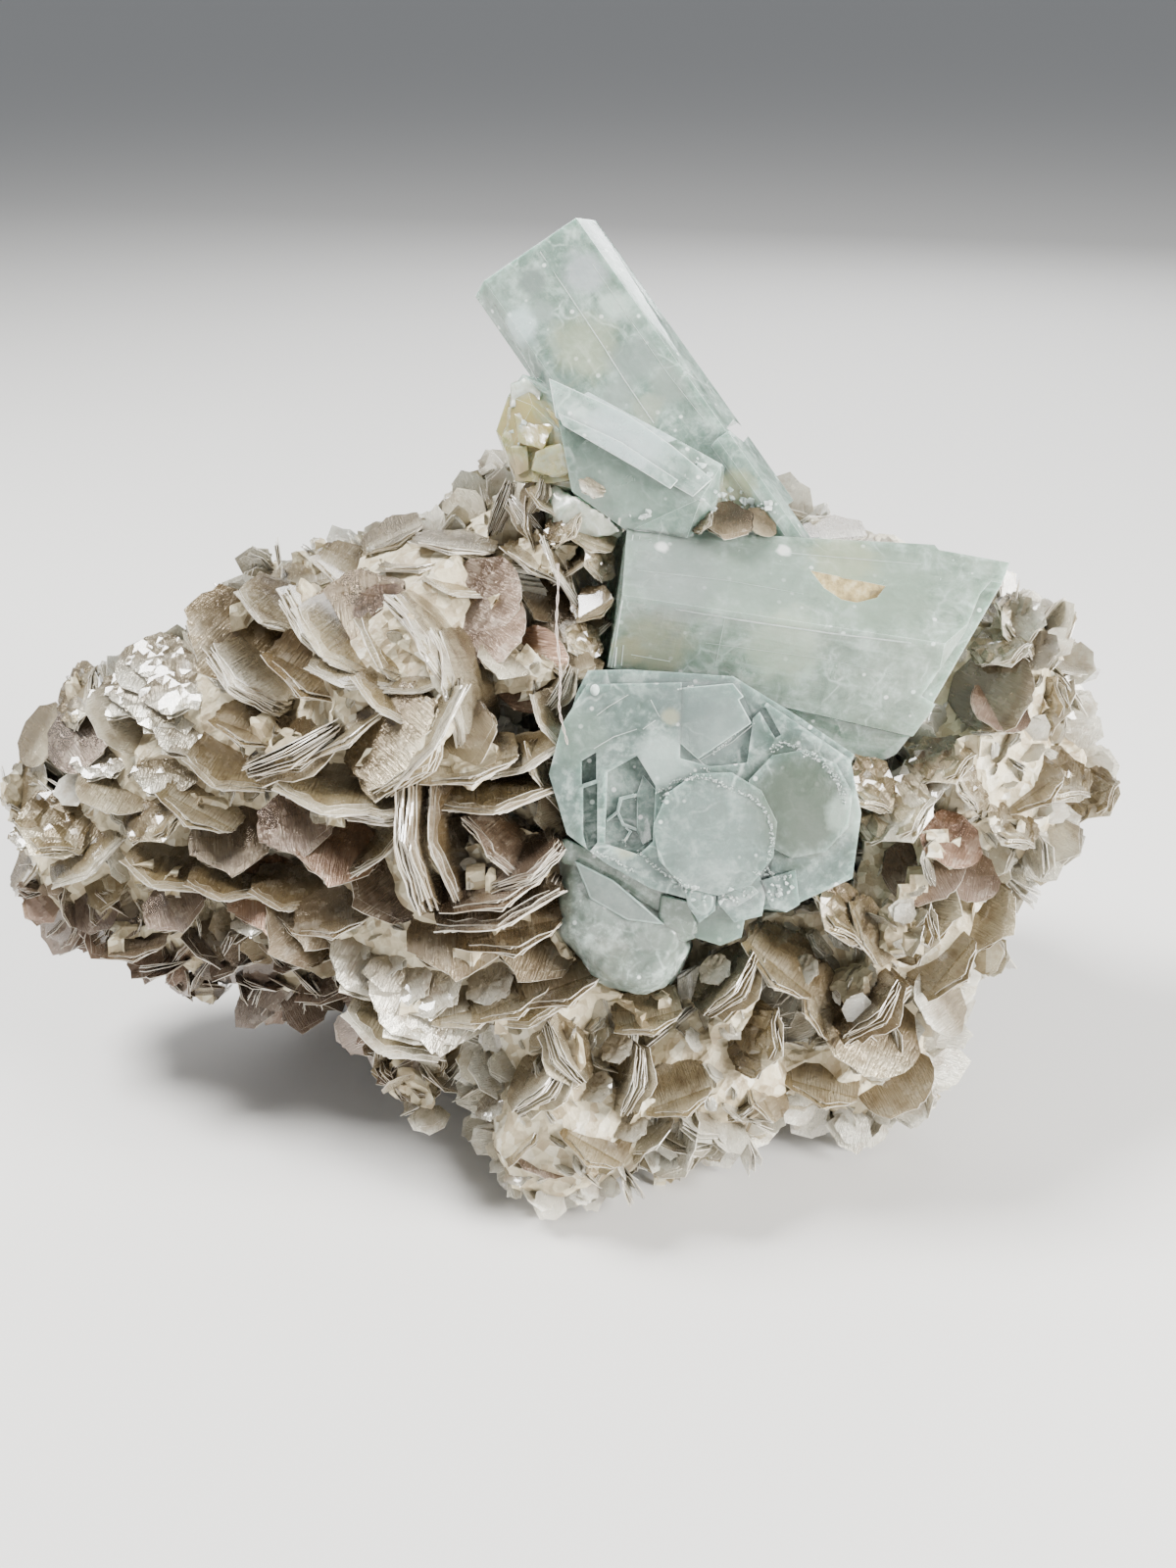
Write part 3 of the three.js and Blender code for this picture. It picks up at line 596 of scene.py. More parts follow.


# ------------------------------------------------------------
# The left tip: smaller, rounder, scale-like books of mica that grew over one another and
# overlap like shingles.

# The books along its underside have darker tints: painted shade.
left_tip = make_cluster("mica_left_tip", {
    "glint": [
        (-42, 9, 9, -5, 54, 6, 0.0), (-40, 5.5, 7, -20, 50, 5, 0.0), (-47, 9, 11, 0, 50, 4, 0.0),
        (-35.5, 12, 6, 0, 55, 4, 0.0), (-49.5, 2.5, 11.5, 5, 50, 3.4, 0.0),
        (-43, 1, 8, -5, 50, 3.6, 0.02)],
    "scale": [
        (-44, 12, 11, -20, 50, 4.5, 0.02), (-52, 5, 13, 45, 58, 4.5, 0.6),
        (-48, 0, 11, -22, 42, 4.5, 0.2), (-57, -1, 19, 80, 40, 4.5, 0.12),
        (-47, 7, 11, -60, 45, 4.5, 0.12), (-56, 5, 18, 60, 45, 4, 0.15)],
    "wavy": [
        (-52, 9, 14, 70, 40, 4.5, 0.1), (-54, -4, 14, -30, 52, 5, 0.15),
        (-44, -3, 9, 30, 45, 4.5, 0.25)],
    "open": [
        (-39, -2, 7, -28, 30, 5, 0.12), (-57, -8, 20, 60, 30, 4, 0.3),
        (-46, -16, 15, 10, 30, 4, 0.6)],
    "tight": [
        (-36, 2, 4, -20, 36, 5, 0.2), (-42.5, -8.5, 10, -20, 28, 5, 0.3),
        (-36, -9.5, 8, -4, 30, 5, 0.35), (-30, -10.5, 6, -8, 34, 4.5, 0.4),
        (-51, -7, 14, 35, 35, 5, 0.1)],
    "plate": [
        (-36, -5, 7, 10, 60, 5, 0.48), (-42, -12, 11, 30, 55, 4, 0.72)],
})


# ------------------------------------------------------------
# The foot and the bottom: knobs of small fanned books of mica, grown downwards, on which
# the specimen stands.

foot = make_cluster("mica_foot", {
    "fan": [
        (-5, -30, -2, 45, 26, 4.5, 0.12), (-2, -27, -3, -60, 25, 4, 0.15),
        (4, -30, -1, 75, 25, 4, 0.12), (14, -20, -1, 50, 28, 4.5, 0.3),
        (28.3, -22.4, 0.6, 45, 30, 4.4, 0.35)],
    "open": [
        (-7, -35, 2, 60, 30, 4, 0.2), (1, -36, -1, -30, 40, 4, 0.2), (9, -31, 0, 20, 40, 4, 0.15),
        (18, -31, 5, -60, 30, 4, 0.2), (20, -18, 0, -40, 34, 5, 0.3),
        (24, -22, 2, -70, 35, 4.5, 0.25), (24, -30, 9, -15, 36, 4.5, 0.2),
        (6, -23, -1, 15, 34, 4, 0.2)],
    "scale": [
        (-4, -37, 2, -20, 50, 3.6, 0.65), (29, -25, 6, -30, 55, 5.5, 0.25),
        (31, -30, 11, 25, 50, 4.5, 0.3), (36, -22, 8, -60, 45, 4, 0.0)],
    "wavy": [
        (17, -26, 1, 70, 36, 4.5, 0.2)],
    "bowed": [
        (28, -22, 4, 40, 34, 5, 0.3)],
})


# ------------------------------------------------------------
# The right side: messy, iron-stained books, pale at the top and reddish in the hollow, and
# a few that grew on top of the crystals.

right_side = make_cluster("mica_right", {
    "wavy": [
        (26, -13, -1, -50, 34, 4.6, 0.25), (33, -15, 3, 75, 36, 4, 0.1),
        (31, -2.5, 2, 30, 46, 5, 0.08), (29, 0, 2, -40, 45, 4, 0.15), (36, 2.5, 4, 25, 40, 4, 0.3),
        (39, 0, 6, -65, 35, 3.6, 0.15), (44, 16, 12, -60, 36, 4.5, 0.02),
        (42, 14, 9, 20, 40, 3.6, 0.05), (46, 8, 14, 80, 45, 4, 0.1),
        (48, 1, 14, -20, 45, 4.5, 0.12), (51, -1, 17, 40, 45, 4, 0.15),
        (43, -4, 8, -30, 40, 4, 0.12), (11.6, 26.8, 0.6, 60, 40, 1.6, 0.2)],
    "open": [
        (29, -15, 1, -65, 30, 4.2, 0.2), (36, -18, 7, 50, 36, 4.5, 0.15),
        (45, 0, 10, 35, 40, 4, 0.3), (25, 25.6, 13, 5, 30, 4, 0.0), (39, 19, 14, -40, 35, 4, 0.05)],
    "scale": [
        (37, -5.5, 4, -30, 55, 3.6, 0.98), (34, -8.5, 4, 20, 52, 4.5, 0.76),
        (38.5, -9, 6, -20, 50, 3.8, 0.78), (41, 9.5, 8, 60, 56, 4.8, 0.42),
        (42, 8, 8, -30, 50, 3.6, 0.75), (17.6, 26.8, 3, -40, 48, 2, 0.25)],
    "plate": [
        (40, -13, 8, 60, 50, 4.5, 0.2), (34, -12, 5, 80, 45, 5, 0.18),
        (14.4, 27, 1.6, -8, 52, 3, 0.42)],
    "glint": [
        (0.4, 30.2, -0.2, -32, 50, 1.5, 0.0)],
})


# ------------------------------------------------------------
# The glints: fresh silvery plates, split clean, which face up a little more than the rest
# and so catch the light of the window.

glints = make_cluster("mica_glints", {
    "glint": [
        (-41.5, 10, 7.5, 14, 57, 4.4, 0.0), (-40, 5.5, 7, 18, 55, 3.6, 0.0),
        (-44, 13, 10, 10, 60, 3.2, 0.0), (-34, -13.6, 6, 22, 55, 2.6, 0.0),
        (-57, -5, 19, 12, 55, 2.4, 0.0), (-21.5, 19, 1, 25, 56, 2.2, 0.0),
        (-16, -21, 0, 30, 55, 3.6, 0.0), (-21, -17.6, 2.4, 36, 52, 3.4, 0.0),
        (-10, -20.5, -1, 28, 56, 2.6, 0.0), (-7, -39.5, 2, 34, 52, 1.8, 0.0),
        (-10, -33, 2, 30, 54, 1.6, 0.0), (1, -31, -2, 40, 52, 1.8, 0.0),
        (4.5, -35, -1, 34, 56, 1.8, 0.0), (3, -27, -2, 36, 52, 1.8, 0.0),
        (13, -19, -2, 38, 54, 1.8, 0.0), (22, -19, 0, 42, 52, 1.8, 0.0),
        (28, -20, 2, 40, 50, 1.8, 0.0), (35, 0, 3, 44, 50, 2.2, 0.0),
        (44, 16.5, 10, 46, 50, 3.2, 0.0), (46, 13.5, 11, 50, 48, 2.6, 0.0),
        (-18.5, -20.5, 0.6, 34, 54, 3, 0.0), (-13, -23.5, 0, 34, 54, 2.6, 0.0),
        (-24, -16.8, 3.4, 30, 54, 2.4, 0.0), (-20.4, -23, 2.4, 33, 54, 2.4, 0.0),
        (-46, 10, 10, 12, 57, 3.4, 0.0), (-37.4, 9.4, 6.6, 15, 56, 3.2, 0.0),
        (-15.6, -7.5, -6, 30, 55, 1.4, 0.0), (-3, 26.5, 5, 36, 54, 1.4, 0.0)],
})


# ------------------------------------------------------------
# The small books: thousands of mica flakes, two to four millimetres across, that cover the
# matrix on all sides. They stand on edge in patches that share a direction.

# Scattered copies are picked by the order of these names.
SMALL_BOOKS = {
    name: mica_book(sheets, pitch, seed, fan=fan, slip=slip, corners=corners, cuts=0,
                    raggedness=raggedness, thickness=0.03, painted_hinge_shade=0.4)
    for name, sheets, pitch, seed, fan, slip, corners, raggedness in (
        ("small_fan", 5, 0.05, 101, 6, 0.1, 6, 0.2), ("small_tight", 4, 0.06, 111, 1, 0.1, 7, 0.2),
        ("small_open", 4, 0.06, 121, 4, 0.12, 8, 0.18),
        ("small_pair", 3, 0.06, 131, 2, 0.12, 7, 0.22))}
small_books = bpy.data.collections.new("small_books")
for name, book in SMALL_BOOKS.items():
    book.name = name
    bpy.context.scene.collection.objects.unlink(book)
    small_books.objects.link(book)

# The placed books in one mesh, between which the flakes stay small. It is removed again.
book_mass = joined("book_mass", [copy_of(cluster) for cluster in (
    rosette, middle, left_tip, foot, right_side, glints)])


FLAKE_SPACING = 1.7 * MM
FLAKE_SIZES = 1.5 * MM, 3.2 * MM
SUNK = 0.7 * MM  # how far the hinge of a flake lies below the surface
FRONT_Y = 4 * MM  # where the flakes in front and those at the back meet
BACK_Y = 38.2 * MM  # no flake reaches further back
LIFT = 1.4 * MM  # no flake starts lower, so that the feet stand flat


def flake_nodes(name, seed):
    """Scatters small books on edge, in patches of one direction, smaller by the crystals."""
    tree = bpy.data.node_groups.new(name, "GeometryNodeTree")
    for direction in ("INPUT", "OUTPUT"):
        tree.interface.new_socket("Geometry", in_out=direction, socket_type="NodeSocketGeometry")
    points = add_node(tree, "GeometryNodeDistributePointsOnFaces", {
        "Mesh": add_node(tree, "NodeGroupInput").outputs["Geometry"], "Seed": seed,
        "Distance Min": FLAKE_SPACING, "Density Max": 900000}, distribute_method="POISSON").outputs
    position = add_node(tree, "GeometryNodeInputPosition").outputs["Position"]
    x, y, z = add_node(tree, "ShaderNodeSeparateXYZ", {"Vector": position}).outputs

    def random_value(low, high, offset):
        return add_node(tree, "FunctionNodeRandomValue", {2: low, 3: high, "Seed": seed + offset},
                        data_type="FLOAT").outputs[1]

    def along_normal(factor):
        return add_node(tree, "ShaderNodeVectorMath", {0: points["Normal"], "Scale": factor},
                        operation="SCALE").outputs[0]

    def local_turn(rotation, axis, angle):
        turn = add_node(tree, "FunctionNodeAxisAngleToRotation", {"Axis": axis, "Angle": angle})
        return add_node(tree, "FunctionNodeRotateRotation", {
            "Rotation": rotation, "Rotate By": turn.outputs["Rotation"]},
            rotation_space="LOCAL").outputs["Rotation"]

    def distance_to(target):
        source = add_node(tree, "GeometryNodeObjectInfo", {"Object": target})
        return add_node(tree, "GeometryNodeProximity", {
            "Target": source.outputs["Geometry"], "Source Position": position},
            target_element="FACES").outputs["Distance"]

    def share_of(distance, full, least=0.0):
        """Grows with the distance to 1 at `full`, and is nowhere smaller than `least`."""
        share = maths(tree, "MINIMUM", maths(tree, "DIVIDE", distance, full), 1.0)
        return maths(tree, "MAXIMUM", share, least)

    spin = maths(tree, "ADD", maths(tree, "MULTIPLY", noise(tree, 110, 1, 0.5, 0, position), 18.0),
                 random_value(-0.5, 0.5, 1))
    spread = maths(tree, "ADD", maths(tree, "MULTIPLY", noise(tree, 60, 0, 0.5, 0, position), 1.8),
                   -0.25)
    lean = maths(tree, "MULTIPLY", random_value(-1, 1, 2), spread)
    outward = add_node(tree, "FunctionNodeAlignRotationToVector", {"Vector": along_normal(-1)},
                       axis="Y").outputs["Rotation"]

    # Small beside crystals and large books, and never so large as to reach the table or the
    # back of the specimen.
    from_books = distance_to(book_mass)
    room = maths(tree, "MULTIPLY", z, 0.45)
    room_behind = maths(tree, "MULTIPLY", maths(tree, "SUBTRACT", BACK_Y, y), 0.5)
    size = maths(tree, "MULTIPLY", share_of(distance_to(crystal_mass), 4.5 * MM, 0.42),
                 random_value(*FLAKE_SIZES, 3))
    size = maths(tree, "MULTIPLY", size, share_of(from_books, 3.5 * MM, 0.36))
    size = maths(tree, "MINIMUM", maths(tree, "MINIMUM", size, room), room_behind)
    chosen = add_node(tree, "GeometryNodeCollectionInfo", {
        "Collection": small_books, "Separate Children": True, "Reset Children": True})
    set_down = add_node(tree, "GeometryNodeSetPosition", {
        "Geometry": points["Points"], "Offset": along_normal(-SUNK)})
    instances = add_node(tree, "GeometryNodeInstanceOnPoints", {
        "Points": set_down.outputs["Geometry"], "Instance": chosen.outputs["Instances"],
        "Pick Instance": True, "Scale": size,
        "Rotation": local_turn(local_turn(outward, (0, 1, 0), spin), (1, 0, 0), lean),
        "Selection": maths(tree, "GREATER_THAN", from_books, 0.8 * MM)})

    # Painted shade: darker underneath on the left, below a line that falls to the right.
    # Painted light: paler on the right.
    west = share_of(maths(tree, "SUBTRACT", -8 * MM, x), 10 * MM)
    below_line = maths(tree, "SUBTRACT", 24 * MM, maths(tree, "MULTIPLY_ADD", x, 0.127, z))
    painted_underside_shade = maths(tree, "MULTIPLY", west, share_of(below_line, 6 * MM))
    # The tint takes this painted shade and light, on top of a random spread.
    tint = maths(tree, "SUBTRACT", maths(tree, "MULTIPLY", painted_underside_shade, 0.7),
                 maths(tree, "MULTIPLY", share_of(x, 25 * MM), 0.18))
    tinted = add_node(tree, "GeometryNodeStoreNamedAttribute", {
        "Geometry": instances.outputs["Instances"], "Name": "tint",
        "Value": maths(tree, "ADD", tint, random_value(-0.22, 0.14, 4))},
        data_type="FLOAT", domain="INSTANCE")
    real = add_node(tree, "GeometryNodeRealizeInstances", {"Geometry": tinted.outputs["Geometry"]})
    add_node(tree, "NodeGroupOutput", {"Geometry": real.outputs["Geometry"]})
    return tree


for name, is_left, is_front, seed in (
        ("flakes_front_left", True, True, 3), ("flakes_front_right", False, True, 5),
        ("flakes_back_left", True, False, 7), ("flakes_back_right", False, False, 9)):
    flakes = bare_copy(ground, name)
    in_edit_mode(flakes, lambda: bpy.ops.mesh.select_all(action="DESELECT"))
    for face in flakes.data.polygons:
        x, y, z = face.center
        face.select = (x < SIGHT_POINT.x) != is_left or (y < FRONT_Y) != is_front or z <= LIFT
    bpy.ops.object.mode_set(mode="EDIT")
    bpy.ops.mesh.delete(type="FACE")
    bpy.ops.object.mode_set(mode="OBJECT")
    apply_modifier(flakes, "NODES", node_group=flake_nodes(name + "_scatter", seed))
    stands_for(flakes, "mica_matrix", "mica")

for spent in [*BOOK_KINDS.values(), *SMALL_BOOKS.values(), crystal_mass, book_mass]:
    bpy.data.objects.remove(spent)


# ------------------------------------------------------------
# The leaning aquamarine: a tall six-sided prism of pale blue-green beryl, veiled inside, that
# leans back to the upper left. A pale prism crosses its foot, and a rib grew along its edge.

LEANING = "leaning_aquamarine", "aquamarine_pale"  # the crystal's node and its slot
CLOSE_UP = 0.17 * MM  # crystals are grown by this, so that they touch where they grew together
BERYL_IOR = 1.577


def beryl_clouds_group():
    """Milky veils and growth lines in beryl. `Lines` is a place drawn out along the crystal."""
    group, given, end = new_group(
        "beryl_clouds", {"Lines": "Vector", "Clear": "Color", "Cloud": "Color"},
        {"Color": "Color", "Frost": "Float", "Height": "Float"})
    veils = noise(group, 130, 5, 0.62, 0.7)
    wisps = noise(group, 480, 4, 0.6, 1.4)
    lines = noise(group, 900, 3, 0.6, 0, given["Lines"])
    patches = noise(group, 230, 5, 0.65, 0.5)
    mottle = noise(group, 360, 6, 0.72, 0.3)
    place = object_place(group)
    bent = add_node(group, "ShaderNodeMix", {
        0: 0.004, 4: place, 5: noise(group, 260, 2, 0.5, output="Color")}, data_type="VECTOR")
    cracks = cells(group, 170, bent.outputs[1], "DISTANCE_TO_EDGE")["Distance"]
    flecks = cells(group, 460, place)["Distance"]
    cracked = maths(group, "MULTIPLY", ranged(group, cracks, 0.035, 0.0, 0, 0.5),
                    ranged(group, patches, 0.47, 0.6))
    colour = layered(
        group, given["Clear"], (ranged(group, veils, 0.34, 0.66), given["Cloud"]),
        (ranged(group, wisps, 0.52, 0.74, 0, 0.5), (0.60, 0.71, 0.65)),
        (ranged(group, lines, 0.56, 0.74, 0, 0.4), (0.62, 0.73, 0.67)),
        (ranged(group, mottle, 0.5, 0.36, 0, 0.9), (0.62, 0.66, 0.62), "MULTIPLY"),
        (ranged(group, mottle, 0.52, 0.66, 0, 0.55), (0.56, 0.66, 0.61)),
        (cracked, (0.70, 0.80, 0.75)),
        (ranged(group, flecks, 0.13, 0.08, 0, 0.8), (0.86, 0.92, 0.88)))
    feed(group, end, {
        "Color": colour, "Frost": ranged(group, patches, 0.45, 0.68),
        "Height": maths(group, "MULTIPLY_ADD", lines, 0.7, patches)})
    return group


def ragged_spot_group():
    """A ragged round spot: 1 at its centre, 0 outside its radius."""
    group, given, end = new_group("ragged_spot", {"Centre": "Vector", "Radius": "Float"},
                                  {"Mask": "Float"})
    apart = add_node(group, "ShaderNodeVectorMath", {0: object_place(group), 1: given["Centre"]},
                     operation="DISTANCE").outputs["Value"]
    wander = ranged(group, noise(group, 520, 4, 0.6), 0.3, 0.7, 0.75, 1.3)
    share = maths(group, "DIVIDE", maths(group, "MULTIPLY", apart, wander), given["Radius"])
    feed(group, end, {"Mask": ranged(group, share, 1.0, 0.55)})
    return group


beryl_clouds = beryl_clouds_group()
ragged_spot = ragged_spot_group()


def surface_of(piece):
    return BVHTree.FromPolygons([vertex.co for vertex in piece.data.vertices],
                                [face.vertices for face in piece.data.polygons])


def struck(surface, right, up, lift=0.0):
    """Where a surface shows at (right, up), raised towards the viewer by `lift` millimetres."""
    start = seen(right, up, -60)
    place, *_ = surface.ray_cast(start, (seen(right, up, 60) - start).normalized())
    return (place or seen(right, up, 5)) + TOWARD_VIEWER * lift * MM


def aquamarine_material(name, surface, clear, cloud, axis=TOWARD_VIEWER, see_through=0.25,
                        depth_colour=(0.5, 0.76, 0.68), density=40, polish=(0.3, 0.55),
                        gloss=0.35, stains=()):
    """Beryl with veils. Each stain on the surface is (right, up, radius, colour, strength)."""
    material = plain_material(name, clear, 0.15)
    tree = material.node_tree
    along = add_node(tree, "ShaderNodeMapping", {
        "Vector": object_place(tree), "Rotation": axis.to_track_quat("Z", "Y").to_euler()},
        vector_type="TEXTURE")
    drawn_out = add_node(tree, "ShaderNodeMapping", {
        "Vector": along.outputs["Vector"], "Scale": (1, 1, 0.05)})
    beryl = add_node(tree, "ShaderNodeGroup", {
        "Lines": drawn_out.outputs["Vector"], "Clear": clear, "Cloud": cloud},
        node_tree=beryl_clouds).outputs
    colour = beryl["Color"]
    for right, up, radius, stain, strength in stains:
        spot = add_node(tree, "ShaderNodeGroup", {
            "Centre": struck(surface, right, up), "Radius": radius * MM}, node_tree=ragged_spot)
        share = ranged(tree, spot.outputs["Mask"], 0, 1, 0, strength)
        colour = layered(tree, colour, (share, stain))
    feed_shader(material, {
        "Base Color": colour, "Roughness": ranged(tree, beryl["Frost"], 0, 1, *polish),
        "Normal": bump(tree, beryl["Height"], 0.35, 0.0003), "IOR": BERYL_IOR,
        "Transmission Weight": see_through, "Subsurface Weight": 0.8,
        "Subsurface Radius": (0.7, 1.0, 0.9), "Subsurface Scale": 0.0024,
        "Coat Weight": gloss, "Coat Roughness": 0.06})
    absorb = add_node(tree, "ShaderNodeVolumeAbsorption", {
        "Color": depth_colour, "Density": density})
    feed(tree, tree.nodes["Material Output"], {"Volume": absorb.outputs["Volume"]})
    return material


def frosted_material(name, colour, roughness=0.5, relief=0.5, sugar=(0.70, 0.79, 0.75)):
    material = plain_material(name, colour, roughness)
    tree = material.node_tree
    grains = noise(tree, 1500, 4, 0.6)
    feed_shader(material, {
        "Base Color": layered(tree, colour, (ranged(tree, grains, 0.35, 0.65), sugar)),
        "Normal": bump(tree, grains, relief, 0.0003), "IOR": BERYL_IOR,
        "Transmission Weight": 0.25, "Subsurface Weight": 0.5,
        "Subsurface Radius": (0.8, 1.0, 1.0), "Subsurface Scale": 0.001})
    return material


frosted_edge = frosted_material("aquamarine_edge", (0.52, 0.63, 0.58), roughness=0.3, relief=0.2)


def smooth_up_to(piece, degrees):
    make_active(piece)
    bpy.ops.object.shade_smooth_by_angle(angle=math.radians(degrees))


def round_edges(piece, width, sharp=30, smooth=25, segments=2, rim=1):
    """Bevels edges sharper than `sharp` degrees by so many millimetres, in material `rim`."""
    apply_modifier(piece, "BEVEL", width=width * MM, segments=segments, limit_method="ANGLE",
                   angle_limit=math.radians(sharp), material=rim)
    smooth_up_to(piece, smooth)


def start_crystal(name, node, growth=CLOSE_UP, fill_hollows=False):
    crystal = copy_of_node(name, node)
    if fill_hollows:
        in_edit_mode(crystal, bpy.ops.mesh.convex_hull)
    in_edit_mode(
        crystal, lambda: bpy.ops.mesh.dissolve_limited(angle_limit=math.radians(2)),
        lambda: bpy.ops.transform.shrink_fatten(value=growth, use_even_offset=True))
    return crystal


def finish_crystal(crystal, node, slot):
    round_edges(crystal, width=0.14, sharp=18, smooth=22)
    stands_for(crystal, node, slot)


def thread(name, places, thickness):
    """A thin round thread through the places, as a mesh."""
    line = bpy.data.curves.new(name, "CURVE")
    line.dimensions = "3D"
    line.bevel_depth = thickness * MM
    line.bevel_resolution = 1
    spline = line.splines.new("POLY")
    spline.points.add(len(places) - 1)
    for point, place in zip(spline.points, places):
        point.co = (*place, 1)
    make_active(new_object(name, line))
    bpy.ops.object.convert(target="MESH")
    return bpy.context.object


def seam(name, surface, points, width, node, slot):
    """A pale thread on the surface along points given as (right, up), for healed cracks
    and for the painted highlight along a ridge.
    """
    crack = thread(name, [struck(surface, *point) for point in points], width * 0.35)
    give(crack, frosted_edge)
    stands_for(crack, node, slot)


leaning_axis = seen(22, 15, 8.5) - seen(-4.8, 53.25, 13)
leaning_crystal = start_crystal("leaning_crystal", LEANING[0])
leaning_surface = surface_of(leaning_crystal)
leaning_beryl = aquamarine_material(
    "aquamarine_leaning", leaning_surface, (0.185, 0.26, 0.22), (0.325, 0.41, 0.36), leaning_axis,
    depth_colour=(0.5, 0.8, 0.68), density=35, polish=(0.06, 0.3), stains=[
        (-5.7, 51.2, 1.9, (0.20, 0.24, 0.22), 0.85), (-4.6, 48.2, 1.5, (0.30, 0.36, 0.33), 0.7),
        (-0.4, 44.6, 4.4, (0.38, 0.41, 0.28), 0.6), (4.6, 43.2, 3, (0.25, 0.30, 0.275), 0.75),
        (3, 39.6, 2.4, (0.27, 0.32, 0.29), 0.7), (8, 40.6, 2.6, (0.28, 0.33, 0.29), 0.7),
        (6, 38.4, 2.2, (0.34, 0.38, 0.30), 0.7), (15, 30, 3, (0.42, 0.43, 0.27), 0.7),
        (3.4, 30.4, 7, (0.33, 0.43, 0.37), 0.6), (-0.4, 52.2, 2.8, (0.42, 0.45, 0.47), 0.7),
        (2.6, 49, 2, (0.56, 0.66, 0.60), 0.6), (-7, 46.6, 2.6, (0.62, 0.74, 0.74), 0.7),
        (-7.4, 36.4, 5.4, (0.42, 0.36, 0.15), 0.95), (-5.6, 32.5, 5.4, (0.44, 0.38, 0.18), 0.95)])
milky_face = frosted_material("aquamarine_milky_face", (0.38, 0.47, 0.455), roughness=0.22,
                              relief=0.12, sugar=(0.56, 0.65, 0.63))
give(leaning_crystal, leaning_beryl, frosted_edge, milky_face)

# The upper side of the crossing prism is milkier than the rest.
crossing_upward = (VIEW_UP * 0.75 + TOWARD_VIEWER * 0.6 + VIEW_RIGHT * 0.3).normalized()
crossing_place = struck(leaning_surface, 5, 35)
for face in leaning_crystal.data.polygons:
    if (face.center - crossing_place).length < 8 * MM and face.normal.dot(crossing_upward) > 0.9:
        face.material_index = 2
finish_crystal(leaning_crystal, *LEANING)

for index, (width, points) in enumerate((
        (0.2, [(-4.9, 54.3), (-2, 50), (1.2, 45.2), (3.6, 41.4), (6.7, 36.8)]),
        (0.12, [(-9.6, 49), (-7.4, 45), (-5.2, 41.2)]),
        (0.1, [(0.5, 53), (4.4, 47.2), (8.2, 41.8), (11.8, 37.2)]))):
    seam(f"leaning_seam_{index}", leaning_surface, points, width, *LEANING)


# ------------------------------------------------------------
# The stained chunk at the foot of the leaning prism: the same beryl, broken with a shell-like
# surface and soaked yellow by iron. A second, greyer chunk lies below it.

stained_beryl = aquamarine_material(
    "aquamarine_stained", leaning_surface, (0.36, 0.33, 0.14), (0.50, 0.47, 0.28), leaning_axis,
    depth_colour=(0.75, 0.74, 0.45), polish=(0.15, 0.5), stains=[
        (-4.4, 35.6, 2.8, (0.42, 0.35, 0.12), 0.85), (-7, 32, 2.6, (0.40, 0.31, 0.20), 0.7),
        (-6.2, 39.6, 2.4, (0.60, 0.66, 0.62), 0.9)])
grey_beryl = aquamarine_material(
    "aquamarine_grey", leaning_surface, (0.34, 0.36, 0.285), (0.50, 0.53, 0.44), leaning_axis,
    see_through=0.1, depth_colour=(0.6, 0.7, 0.55), density=20, polish=(0.25, 0.5), gloss=0.1)
frosted = frosted_material("aquamarine_frosted", (0.36, 0.46, 0.42))


def make_shard(seed):
    deselect_all()
    bpy.ops.mesh.primitive_ico_sphere_add(subdivisions=1, radius=1)
    shard = bpy.context.object
    in_edit_mode(
        shard, lambda: bpy.ops.transform.vertex_random(offset=0.45, uniform=1.0, normal=0.0,
                                                       seed=seed),
        bpy.ops.mesh.convex_hull)
    return shard


def set_shard(shape, place, tumble, sides):
    shard = copy_of(shape)
    shard.data.transform(Matrix.Translation(place) @ tumble @ Matrix.Diagonal((*sides, 1)))
    return shard


def tumbled(dice):
    return Matrix.Rotation(dice.uniform(0, 6), 4, "Z") @ Matrix.Rotation(dice.uniform(0, 6), 4, "X")


def shard_field(name, spots, count, sizes, material, seed):
    """Broken crystal bits over round spots, given as (right, up, reach across, reach up)."""
    dice = random.Random(seed)
    shapes = [make_shard(seed + step) for step in range(4)]
    shards = []
    for number in range(count):
        right, up, across, upwards = spots[number % len(spots)]
        turn, far = dice.uniform(0, math.tau), math.sqrt(dice.random())
        place = struck(leaning_surface, right + across * far * math.cos(turn),
                       up + upwards * far * math.sin(turn), -0.3 * sizes[0])
        size = dice.uniform(*sizes) * MM
        tumble = tumbled(dice)
        sides = size, size * dice.uniform(0.4, 0.8), size * dice.uniform(0.5, 1.1)
        shards.append(set_shard(shapes[number % 4], place, tumble, sides))
    field = joined(name, shards)
    for shape in shapes:
        bpy.data.objects.remove(shape)
    give(field, material)
    bpy.ops.object.shade_flat()
    stands_for(field, *LEANING)


def block(name, corners, depth):
    """A block whose near side has its corners at (right, up, behind), and its far side lies
    `depth` behind them."""
    deselect_all()
    bpy.ops.mesh.primitive_circle_add(vertices=len(corners), radius=MM, fill_type="NGON")
    piece = bpy.context.object
    piece.name = name
    in_edit_mode(piece, lambda: bpy.ops.mesh.extrude_region_move(
        TRANSFORM_OT_translate={"value": (0, 0, MM)}))
    for vertex in piece.data.vertices:
        right, up, behind = corners[vertex.index % len(corners)]
        vertex.co = seen(right, up, behind + (0 if vertex.index < len(corners) else depth))
    in_edit_mode(piece, lambda: bpy.ops.mesh.normals_make_consistent(inside=False))
    return piece


grey_crystal = start_crystal("grey_crystal", "grey_aquamarine", growth=0)
apply_modifier(grey_crystal, "REMESH", mode="VOXEL", voxel_size=0.35 * MM)
apply_modifier(grey_crystal, "SMOOTH", factor=0.5, iterations=4)
roughen(grey_crystal, "CLOUDS", size=2.4, height=1.3, middle=0.4, noise_depth=2)
give(grey_crystal, grey_beryl)
smooth_up_to(grey_crystal, 35)
stands_for(grey_crystal, "grey_aquamarine", "aquamarine_grey")

